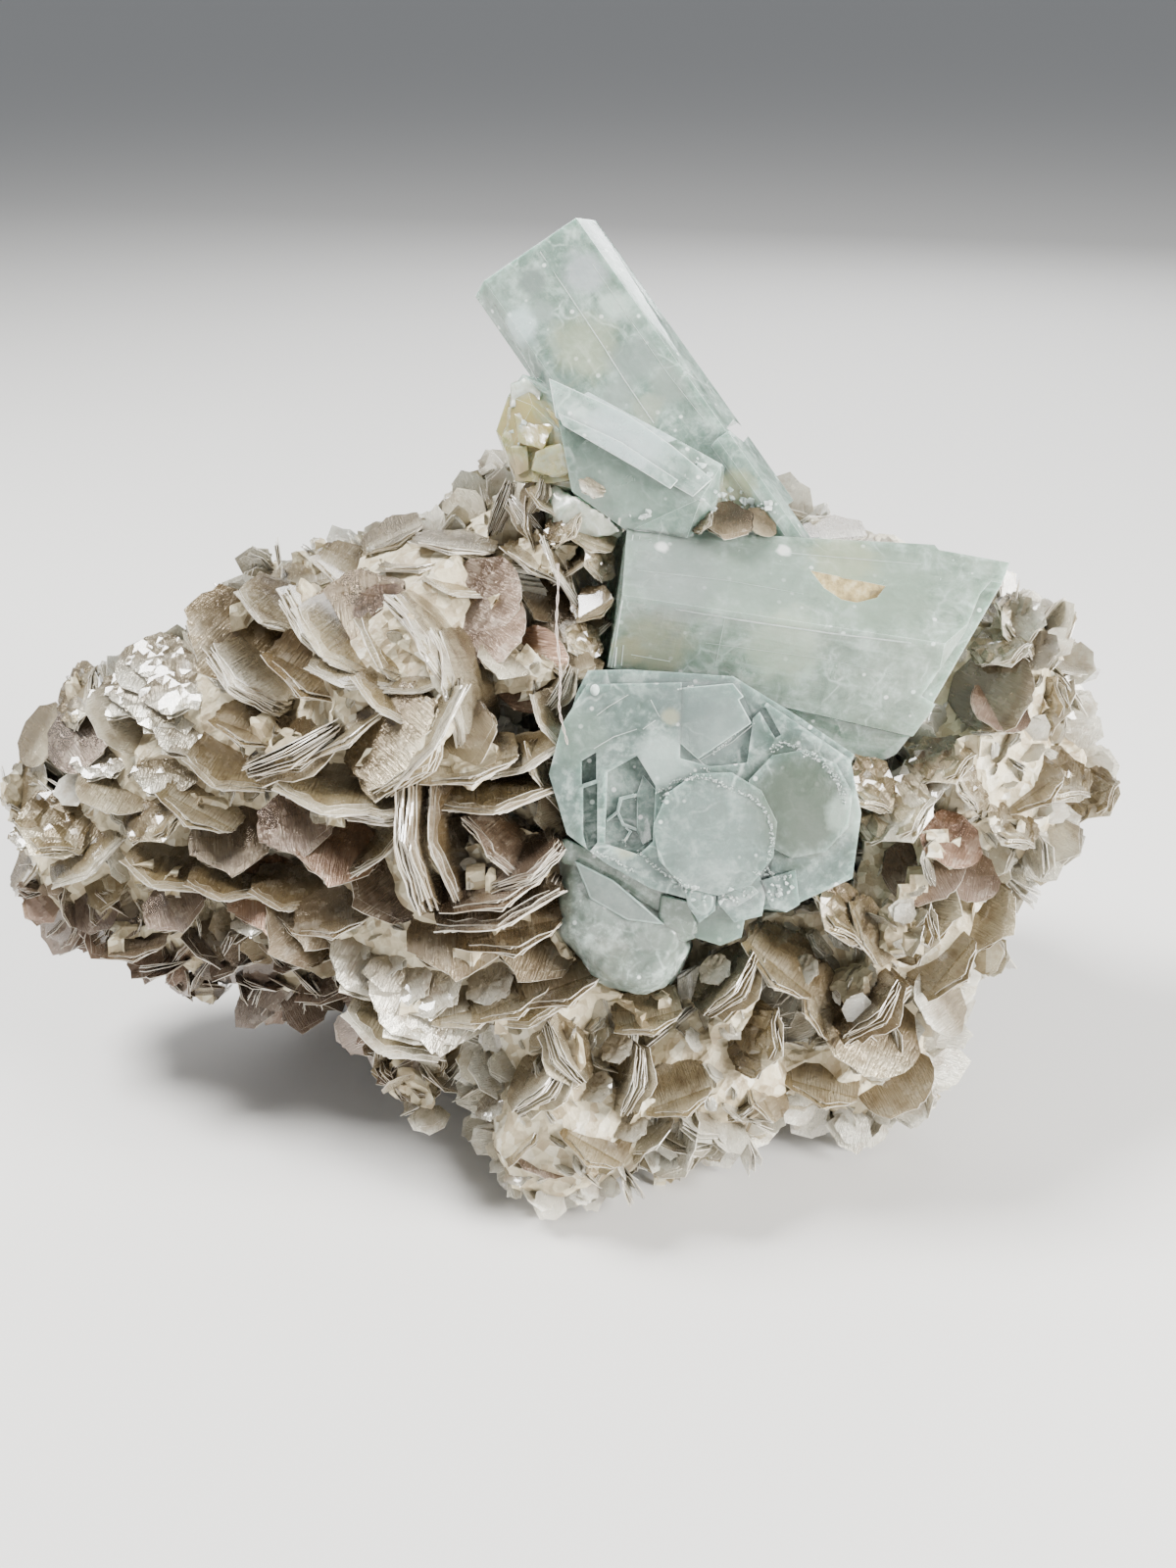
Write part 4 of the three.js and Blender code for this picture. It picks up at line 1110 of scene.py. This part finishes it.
for name, material, depth, corners in (
        ("stained_chunk", stained_beryl, 5, [
            (-8.1, 38.4, 6.4), (-5.2, 39.4, 5.0), (-3.2, 37.6, 2.6), (-1.4, 34.2, 0.8),
            (0.2, 31.2, 1.6), (-3.6, 30.6, 3.2), (-7.3, 30.9, 5.2), (-8.9, 35, 6.4)]),
        ("stained_facet_1", stained_beryl, 3, [
            (-7.6, 37.8, 5.2), (-5, 38.4, 3.9), (-3.5, 36.4, 2.2), (-4.6, 34.2, 2.2),
            (-7.1, 34.8, 4.0)]),
        ("stained_facet_2", stained_beryl, 3, [
            (-5.4, 33.8, 2.8), (-2.8, 34.8, 0.9), (-1.2, 32, 1.0), (-3.6, 31.3, 2.2),
            (-5.8, 32, 3.4)]),
        ("stained_facet_3", stained_beryl, 3, [
            (-7.9, 34.4, 5.2), (-6.2, 34.6, 4.0), (-6.0, 32, 4.0), (-7.2, 31.4, 4.8)]),
        ("clear_facet", grey_beryl, 3, [
            (-7.9, 40.8, 6.4), (-6.4, 41.4, 5.8), (-4.8, 40.0, 5.0), (-5.0, 38.8, 4.4),
            (-7.9, 38.4, 5.8)])):
    chunk = block(name, corners, depth)
    give(chunk, material)
    apply_modifier(chunk, "SUBSURF", levels=3, subdivision_type="SIMPLE")
    apply_modifier(chunk, "SMOOTH", factor=0.5, iterations=3)
    roughen(chunk, "CLOUDS", size=1.6, height=0.5, middle=0.5, noise_depth=1)
    smooth_up_to(chunk, 30)
    stands_for(chunk, *LEANING)

shard_field("bruised_zone", [(11, 32, 1.6, 1.2), (14, 29, 2.4, 1.2), (17, 28.4, 1.8, 0.8)],
            count=44, sizes=(0.2, 0.6), material=frosted, seed=8)
shard_field("clear_bits", [(-5.4, 32.6, 1.6, 0.7), (-6.8, 35.6, 1, 1.6), (6, 27.6, 2.4, 0.8)],
            count=16, sizes=(0.2, 0.5), material=frosted_edge, seed=5)

# The bright upper side of the crossing prism, a long lath of its own with a stepped lower end.
lath_beryl = aquamarine_material(
    "aquamarine_lath", leaning_surface, (0.24, 0.32, 0.285), (0.36, 0.45, 0.41),
    seen(12.7, 31.1, 0) - seen(-4.0, 41.4, 0), depth_colour=(0.5, 0.8, 0.68), density=35,
    polish=(0.2, 0.45), gloss=0.15, stains=[(4.2, 35.2, 5.4, (0.48, 0.57, 0.57), 0.75)])
for number, corners in enumerate((
        [(-4.0, 41.4, -0.57), (3.9, 37.8, -0.31), (8.6, 34.5, -0.46), (12.7, 31.1, -0.73),
         (10.7, 29.3, -1.5), (5.0, 32.6, -1.5), (-3.3, 37.4, -1.5)],
        [(-3.1, 37.9, -1.6), (3.4, 34.9, -1.5), (9.2, 31.0, -1.6), (8.4, 30.1, -1.9),
         (5.0, 32.2, -1.95), (-2.6, 36.6, -1.9)])):
    lath = block(f"crossing_lath_{number}", corners, depth=6)
    give(lath, lath_beryl, frosted_edge)
    round_edges(lath, width=0.08, sharp=18, smooth=22)
    stands_for(lath, *LEANING)


# ------------------------------------------------------------
# The lying aquamarine: the thickest prism, level, with a ridge along its front, a broken
# right end and an ochre-filled pit.

LYING = "lying_aquamarine", "aquamarine_pale"


def ochre_material():
    material = plain_material("iron_ochre", (0.55, 0.40, 0.16), 0.7)
    tree = material.node_tree
    crumbs = noise(tree, 900, 5, 0.65)
    colour = ramp(tree, crumbs, [
        (0.3, (0.16, 0.12, 0.06)), (0.5, (0.36, 0.28, 0.12)), (0.7, (0.55, 0.49, 0.31))])
    feed_shader(material, {"Base Color": colour, "Normal": bump(tree, crumbs, 0.6, 0.0005)})
    return material


def slab(name, outline, near, far):
    """A block with a flat near side and a flat far side, from an outline of (right, up)."""
    return block(name, [(right, up, near) for right, up in outline], far - near)


def carve(crystal, cutter, material=None):
    """Cuts the cutter out of the crystal. The walls of the cut take the material, if any."""
    if material:
        give(cutter, material)
    apply_modifier(crystal, "BOOLEAN", operation="DIFFERENCE", solver="MANIFOLD",
                   material_mode="TRANSFER" if material else "INDEX", object=cutter)
    bpy.data.objects.remove(cutter)


lying_axis = seen(36.2, 13.3, 9.5) - seen(2.6, 18.6, 5.5)
lying_crystal = start_crystal("lying_crystal", LYING[0], fill_hollows=True)
lying_beryl = aquamarine_material(
    "aquamarine_lying", surface_of(lying_crystal), (0.225, 0.30, 0.245), (0.325, 0.40, 0.335),
    lying_axis, depth_colour=(0.55, 0.82, 0.66), density=30, polish=(0.08, 0.3), stains=[
        (7, 14.5, 4.5, (0.42, 0.42, 0.29), 0.7), (3.8, 13.5, 2.2, (0.48, 0.45, 0.28), 0.6),
        (9, 21.5, 7, (0.25, 0.29, 0.27), 0.75), (18, 21, 7, (0.24, 0.31, 0.26), 0.7),
        (20, 14, 5, (0.46, 0.54, 0.42), 0.6), (30, 20, 7, (0.25, 0.32, 0.25), 0.7),
        (26, 23, 4.5, (0.40, 0.42, 0.27), 0.5), (7.6, 24.2, 0.9, (0.85, 0.88, 0.84), 0.9),
        (20, 23.8, 0.9, (0.85, 0.88, 0.84), 0.9)])
give(lying_crystal, lying_beryl, frosted_edge)

# A step in its upper edge, the broken right end, and the pit, with walls of iron ochre.
carve(lying_crystal, slab("top_step", [
    (35.2, 24.6), (35.8, 23.9), (43, 22.6), (44, 30), (35.2, 30)], -15, 30))
carve(lying_crystal, slab("broken_end", [
    (41.4, 21), (40, 19.4), (38.4, 15.4), (36.4, 12.4), (34, 9), (44, 3), (46, 20)], -15, 3))
carve(lying_crystal, slab("pit", [
    (22.7, 21.8), (24.1, 20.0), (25.9, 18.8), (27.4, 18.5), (29.5, 19.0), (30.9, 20.9),
    (28.6, 20.6), (26, 21.0), (24.2, 21.9)], -10, 1.2), ochre_material())
finish_crystal(lying_crystal, *LYING)

# Its lower side goes on down to the mica in which it grew.
lying_skirt = block("lying_skirt", [
    (14, 12.6, 0.4), (24, 11.4, 1.0), (34, 9.6, 1.8), (33.4, 5.6, 5), (31.4, 3.0, 6), (27, 1, 7),
    (20, 5, 4.4), (13.6, 9.6, 2.6)], depth=7)
give(lying_skirt, lying_beryl)
stands_for(lying_skirt, *LYING)

# Healed cracks, and a pale thread along the ridge on its front: a painted highlight.
lying_surface = surface_of(lying_crystal)
for index, (points, width) in enumerate((
        ([(4.6, 25.4), (3.5, 18.7), (2.4, 11.9)], 0.16), ([(5.3, 25.3), (4.4, 18.5)], 0.1),
        ([(2.9, 14.0), (2.7, 12.0)], 0.3), ([(3.6, 14.2), (3.4, 12.1)], 0.14),
        ([(4.4, 13.2), (8.4, 12.5)], 0.1), ([(14, 17), (13, 12)], 0.08),
        ([(36, 21), (33.5, 13.8)], 0.1), ([(20, 23.6), (34, 22.4)], 0.1),
        ([(5, 21.8), (14, 20.8), (22, 19.4)], 0.07), ([(12, 14.4), (24, 12.8), (31, 11.2)], 0.07))):
    seam(f"lying_seam_{index}", lying_surface, points, width, *LYING)
seam("lying_ridge", lying_surface, [(1.6, 19.1), (9, 17.8), (17, 16.5), (24.6, 15.4), (33, 14.4)],
     0.26, *LYING)


# ------------------------------------------------------------
# The front aquamarine: a stubby prism whose etched end looks at the viewer. Solution ate
# six-sided windows into it, and left a frosted raised disc, a darker disc and a crusty rim.

FRONT = "front_aquamarine", "aquamarine_milky"
FRONT_FACE = -8  # how far behind the sight point the etched end lies
front_edge = frosted_material("aquamarine_front_edge", (0.30, 0.40, 0.36), roughness=0.3,
                              relief=0.2, sugar=(0.46, 0.56, 0.52))

front_crystal = start_crystal("front_crystal", FRONT[0])
front_surface = surface_of(front_crystal)
milky_front = aquamarine_material(
    "aquamarine_front", front_surface, (0.12, 0.175, 0.155), (0.20, 0.265, 0.24), gloss=0.05,
    stains=[
        (21.4, -2.4, 6.6, (0.075, 0.105, 0.07), 0.85), (21.6, -2.2, 5.4, (0.07, 0.10, 0.065), 0.5),
        (7.6, 2.6, 3.4, (0.44, 0.54, 0.50), 0.75), (13, 7, 4.6, (0.22, 0.285, 0.265), 0.6),
        (13, -5, 6.8, (0.22, 0.29, 0.265), 0.5), (13, -14.6, 3, (0.14, 0.21, 0.16), 0.7),
        (-1, 5, 3.6, (0.18, 0.25, 0.20), 0.6), (26.4, -3, 2.6, (0.40, 0.49, 0.43), 0.6),
        (9.6, 9.4, 4.6, (0.17, 0.215, 0.205), 0.5), (12.6, 5.6, 4, (0.16, 0.21, 0.195), 0.5),
        (8.4, 6.8, 1.1, (0.42, 0.42, 0.28), 0.6), (4, -6.4, 1.4, (0.46, 0.46, 0.33), 0.6)])
window_floor = aquamarine_material(
    "aquamarine_window", front_surface, (0.15, 0.21, 0.18), (0.24, 0.315, 0.28),
    see_through=0.35, density=70, polish=(0.1, 0.25))
give(front_crystal, milky_front, front_edge)

# A groove, and three windows with clearer walls and floors.
for outline, depth, walls in (
        ([(17.4, 7.6), (18.1, 7.9), (19.7, 5), (19.1, 4.7)], 0.8, None),
        ([(-0.65, 2.35), (0.85, 3.25), (0.85, 0.45), (-0.65, -0.05)], 0.9, window_floor),
        ([(-0.5, -0.42), (0.95, 0.1), (0.95, -6.0), (0, -7.1), (-0.5, -5.2)], 0.9, window_floor),
        ([(2.0, 1.2), (5.0, 2.9), (6.9, -0.2), (6.6, -5.9), (5.2, -7.2), (1.7, -6.1)], 0.8,
         window_floor)):
    carve(front_crystal, slab("etched", outline, FRONT_FACE - 5, FRONT_FACE + depth), walls)
finish_crystal(front_crystal, *FRONT)


def plateau(name, outline, near, far, material, edge=0.1):
    """A raised plate on the etched end, between two depths in millimetres behind it."""
    piece = slab(name, outline, FRONT_FACE + near, FRONT_FACE + far)
    give(piece, material, front_edge)
    round_edges(piece, edge)
    stands_for(piece, *FRONT)


# Ledges that the solution left standing inside the largest window.
for number, outline in enumerate((
        [(4.95, -0.95), (3.2, -1.35), (2.85, -2.9), (3.15, -3.0), (3.5, -1.62), (4.95, -1.25)],
        [(2.9, -2.9), (3.5, -4.25), (4.95, -4.8), (4.95, -4.5), (3.7, -4.0), (3.2, -2.9)],
        [(1.9, -3.9), (3.0, -3.05), (3.1, -2.8), (2.9, -2.75), (1.9, -3.55)],
        [(3.9, -4.4), (4.5, -4.85), (3.8, -5.95), (3.6, -5.8), (4.2, -4.85), (3.75, -4.5)])):
    plateau(f"window_ledge_{number}", outline, 0.3, 1.2, milky_front, edge=0.04)
plateau("window_step", [
    (5.0, -1.0), (5.6, 0.9), (6.9, -0.6), (6.9, -5.4), (5.6, -6.2), (5.0, -4.8)],
    0.55, 1.2, window_floor, edge=0.04)

# Thin steps on the upper plate.
plateau("upper_step", [
    (11.2, 2.5), (16.7, 6.2), (15.4, 8.6), (15.9, 8.9), (14.8, 10.3), (9.2, 9.8), (5.2, 7.5),
    (9, 4.5)], -0.15, 1, milky_front)
plateau("left_step", [(-2.4, 5.4), (-0.3, 8.8), (3.2, 9.3), (4.4, 8.4), (1.2, 5.6), (-1.4, 3.4)],
        -0.15, 1, milky_front)

# Pale rounded lobes that grew on past the lower rim of the disc.
lobe_beryl = aquamarine_material(
    "aquamarine_lobe", front_surface, (0.25, 0.335, 0.30), (0.36, 0.45, 0.415),
    see_through=0.2, density=30, polish=(0.2, 0.45), gloss=0.1)
for number, (outline, near) in enumerate((
        ([(10, -10.7), (10.1, -12.3), (10.9, -13.2), (12, -13.65), (12.9, -12.7), (13.07, -11.5),
         (12.3, -10.7)], -0.9),
        ([(13.2, -11.5), (13.9, -12.7), (15.2, -12.9), (16.5, -12.1), (17.9, -11.1), (17, -10.1),
         (14.7, -9.9)], -0.8),
        ([(14.4, -12.6), (16.3, -13.7), (17.6, -13.6), (17.9, -12), (17.9, -11)], 0.4),
        ([(18, -10.7), (18.7, -12), (20, -12.6), (20.8, -12.4), (21.3, -11.5), (20.8, -9.3),
         (19.2, -9.1)], -0.6))):
    plateau(f"rim_lobe_{number}", outline, near, near + 2.4, lobe_beryl, edge=0.4)

front_surface = surface_of(front_crystal)  # as carved


def crust(name, paths, width, size, material, seed):
    """Sugary grains in a band of that width along paths of (right, up) on the etched end."""
    dice = random.Random(seed)
    shape = make_shard(seed)
    grains = []
    for start, end in [pair for path in paths for pair in zip(path, path[1:])]:
        way = Vector(end) - Vector(start)
        count = max(1, round(way.length * width * 0.8 / size ** 2))
        for step in range(count):
            along = Vector(start) + way * ((step + dice.random()) / count)
            place = struck(front_surface, along.x + dice.gauss(0, width * 0.4),
                           along.y + dice.gauss(0, width * 0.4))
            side = size * dice.uniform(0.4, 1.1) * MM
            grains.append(set_shard(shape, place, tumbled(dice), (side, side * 0.8, side * 0.6)))
    piece = joined(name, grains)
    bpy.data.objects.remove(shape)
    give(piece, material)
    stands_for(piece, *FRONT)


crust("disc_rim", [
    [(7.6, -1.6), (8.6, 0.1), (10.4, 0.8), (12.6, 0.5), (15, -0.7), (17.2, -1.6), (18.4, -3.4),
     (18.9, -6), (18.2, -8)], [(18.2, -8.6), (19.4, -9.6), (21, -9.4)]
], width=0.3, size=0.17, material=frosted, seed=5)
crust("dark_disc_rim", [
    [(18.6, 3.4), (20, 4.2), (21.6, 3.6), (23.6, 2.4), (25.4, 0.6), (26.2, -2)]
], width=0.4, size=0.16, material=frosted, seed=6)
crust("white_flecks", [
    [(9.2, 9.6), (10.8, 10)], [(11.6, 1.6), (12.4, 1.4)], [(12.6, 3), (15.2, 5.2)],
    [(19.2, 8), (19.8, 7.8)], [(6.9, -1), (8, -0.4)], [(9.4, 0.3), (10.8, 0.7)],
    [(5, -6.8), (7.2, -8.8), (9.6, -10)], [(0.6, -6.9), (2.6, -7.8), (4.6, -8.8)],
    [(16.8, -9), (19, -9.4)], [(4.6, -0.9), (5, -1.6)], [(3.4, -5.6), (4, -6.2)]
], width=0.22, size=0.13, material=frosted_edge, seed=9)
crust("lower_crust", [
    [(8.6, -9.8), (10, -10.6), (12, -11.4)], [(13.4, -11.6), (17, -11.2)],
    [(18, -11.4), (21, -10.6)]
], width=0.8, size=0.36, material=frosted, seed=12)
for number, points in enumerate((
        [(0.9, 7.0), (2.1, 7.9), (4.1, 9.1)], [(5.6, 5.6), (6.9, 6.5)],
        [(17, 6.2), (14.6, 4.2), (11.4, 2.4)], [(6.4, 8.6), (7.2, 7), (9.8, 4), (12.2, 1.6)],
        [(0.6, 3.6), (2.6, 4.8), (5, 5.6)]), start=1):
    seam(f"crack_{number}", front_surface, points, 0.1, *FRONT)

# The prism goes on behind its etched face up to the lying crystal, against which it grew.
contact = slab("front_contact", [
    (-2.2, 5.5), (-1.2, 9.2), (0, 11.6), (4, 11.7), (9, 11.4), (14.8, 11), (21, 7.2), (27.2, 3),
    (26, 0), (12, 6), (0, 6)], near=FRONT_FACE + 0.5, far=3)
give(contact, milky_front)
stands_for(contact, *FRONT)


# ------------------------------------------------------------
# The lower aquamarine: a small rounded crystal below the front one, grey-green and cloudy,
# with a paler facet along its top, and green seams where it grew against its neighbour.

LOWER = "lower_aquamarine", "aquamarine_milky"

lower_crystal = copy_of_node("lower_crystal", LOWER[0])
apply_modifier(lower_crystal, "REMESH", mode="VOXEL", voxel_size=0.42 * MM)
apply_modifier(lower_crystal, "SMOOTH", factor=0.5, iterations=2)
roughen(lower_crystal, "VORONOI", size=5, height=-0.9, middle=0.85)
roughen(lower_crystal, "VORONOI", size=1.3, height=-0.25, middle=0.5)
give(lower_crystal, aquamarine_material(
    "aquamarine_lower", surface_of(lower_crystal), (0.15, 0.185, 0.155), (0.20, 0.24, 0.21),
    see_through=0.15, depth_colour=(0.55, 0.76, 0.64), density=80, polish=(0.4, 0.62), stains=[
        (3, -11.5, 4, (0.24, 0.29, 0.26), 0.5), (8, -14, 3.5, (0.14, 0.18, 0.145), 0.5),
        (2, -18, 3, (0.22, 0.24, 0.19), 0.4)]))
smooth_up_to(lower_crystal, 35)
stands_for(lower_crystal, *LOWER)

contact_beryl = aquamarine_material(
    "aquamarine_contact", front_surface, (0.165, 0.215, 0.175), (0.24, 0.30, 0.25),
    see_through=0.15, depth_colour=(0.55, 0.75, 0.62), polish=(0.15, 0.4))
pale_facet_beryl = frosted_material("aquamarine_pale_facet", (0.20, 0.25, 0.225),
                                    roughness=0.45, relief=0.1, sugar=(0.27, 0.32, 0.295))
well_rounded = {"width": 0.4, "smooth": 40, "segments": 3, "rim": 0}
for name, materials, depth, edges, corners in (
        ("lower_contact", (contact_beryl, front_edge), 6, well_rounded, [
            (-2.6, -5.4, -6.6), (1.4, -7.2, -6.8), (4.5, -9.0, -6.8), (9.4, -11.8, -6.6),
            (9.2, -14.4, -5.4), (5.2, -12, -6.0), (1.6, -9.6, -6.2), (-2.8, -8, -5.6)]),
        ("lobe_contact", (contact_beryl,), 5, well_rounded, [
            (7.4, -11.2, -7.0), (10.6, -12, -7.2), (11.4, -15.6, -5.6), (9.6, -16.2, -5.0),
            (7, -14.6, -5.8)]),
        ("pale_facet", (pale_facet_beryl, front_edge), 5, {"width": 0.2, "smooth": 30}, [
            (-1.4, -7.8, -6.8), (2.6, -9.8, -7.0), (5.2, -12, -7.0), (7.9, -14.4, -6.6),
            (4, -13.9, -6.2), (0.2, -11.7, -6.2)])):
    piece = block(name, corners, depth)
    give(piece, *materials)
    round_edges(piece, **edges)
    stands_for(piece, *LOWER)


# ------------------------------------------------------------
# Two strays: a pale rounded lump of quartz on the front crystal, and a fibre of lint that has
# caught between the crystals, spun of two strands.

deselect_all()
bpy.ops.mesh.primitive_ico_sphere_add(subdivisions=3, radius=0.5 * MM)
quartz_lump = bpy.context.object
quartz_lump.name = "quartz_lump"
quartz_lump.data.transform(Matrix.Translation(struck(front_surface, 0.7, 9.6, 0.15))
                           @ Matrix.Diagonal((0.9, 0.7, 1.2, 1)))
give(quartz_lump, frosted_edge)
bpy.ops.object.shade_smooth()
stands_for(quartz_lump, *FRONT)

fibre_path = [Vector(place) for place in (
    (-3.1, 22.5, -3), (-3.2, 19, -6), (-3.1, 16, -7.4), (-2.9, 12, -8.2), (-3.0, 8.2, -8.6),
    (-2.5, 6.1, -8.6), (-2.2, 4.0, -8.4))]
FIBRE_STEPS = 60
lint_fibre = plain_material("lint", (0.60, 0.50, 0.44), 0.8)
for number in range(2):
    places = []
    for step in range(FIBRE_STEPS + 1):
        share = step / FIBRE_STEPS * (len(fibre_path) - 1)
        index = min(int(share), len(fibre_path) - 2)
        place = fibre_path[index].lerp(fibre_path[index + 1], share - index)
        twist = share * 6 + number * math.pi
        sway = 0.12 * math.sin(share * 2.3)
        places.append(seen(*(place + Vector((
            math.cos(twist) * 0.1 + sway, 0, math.sin(twist) * 0.1)))))
    lint = thread(f"lint_{number}", places, 0.045)
    give(lint, lint_fibre)
    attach(lint, "root")
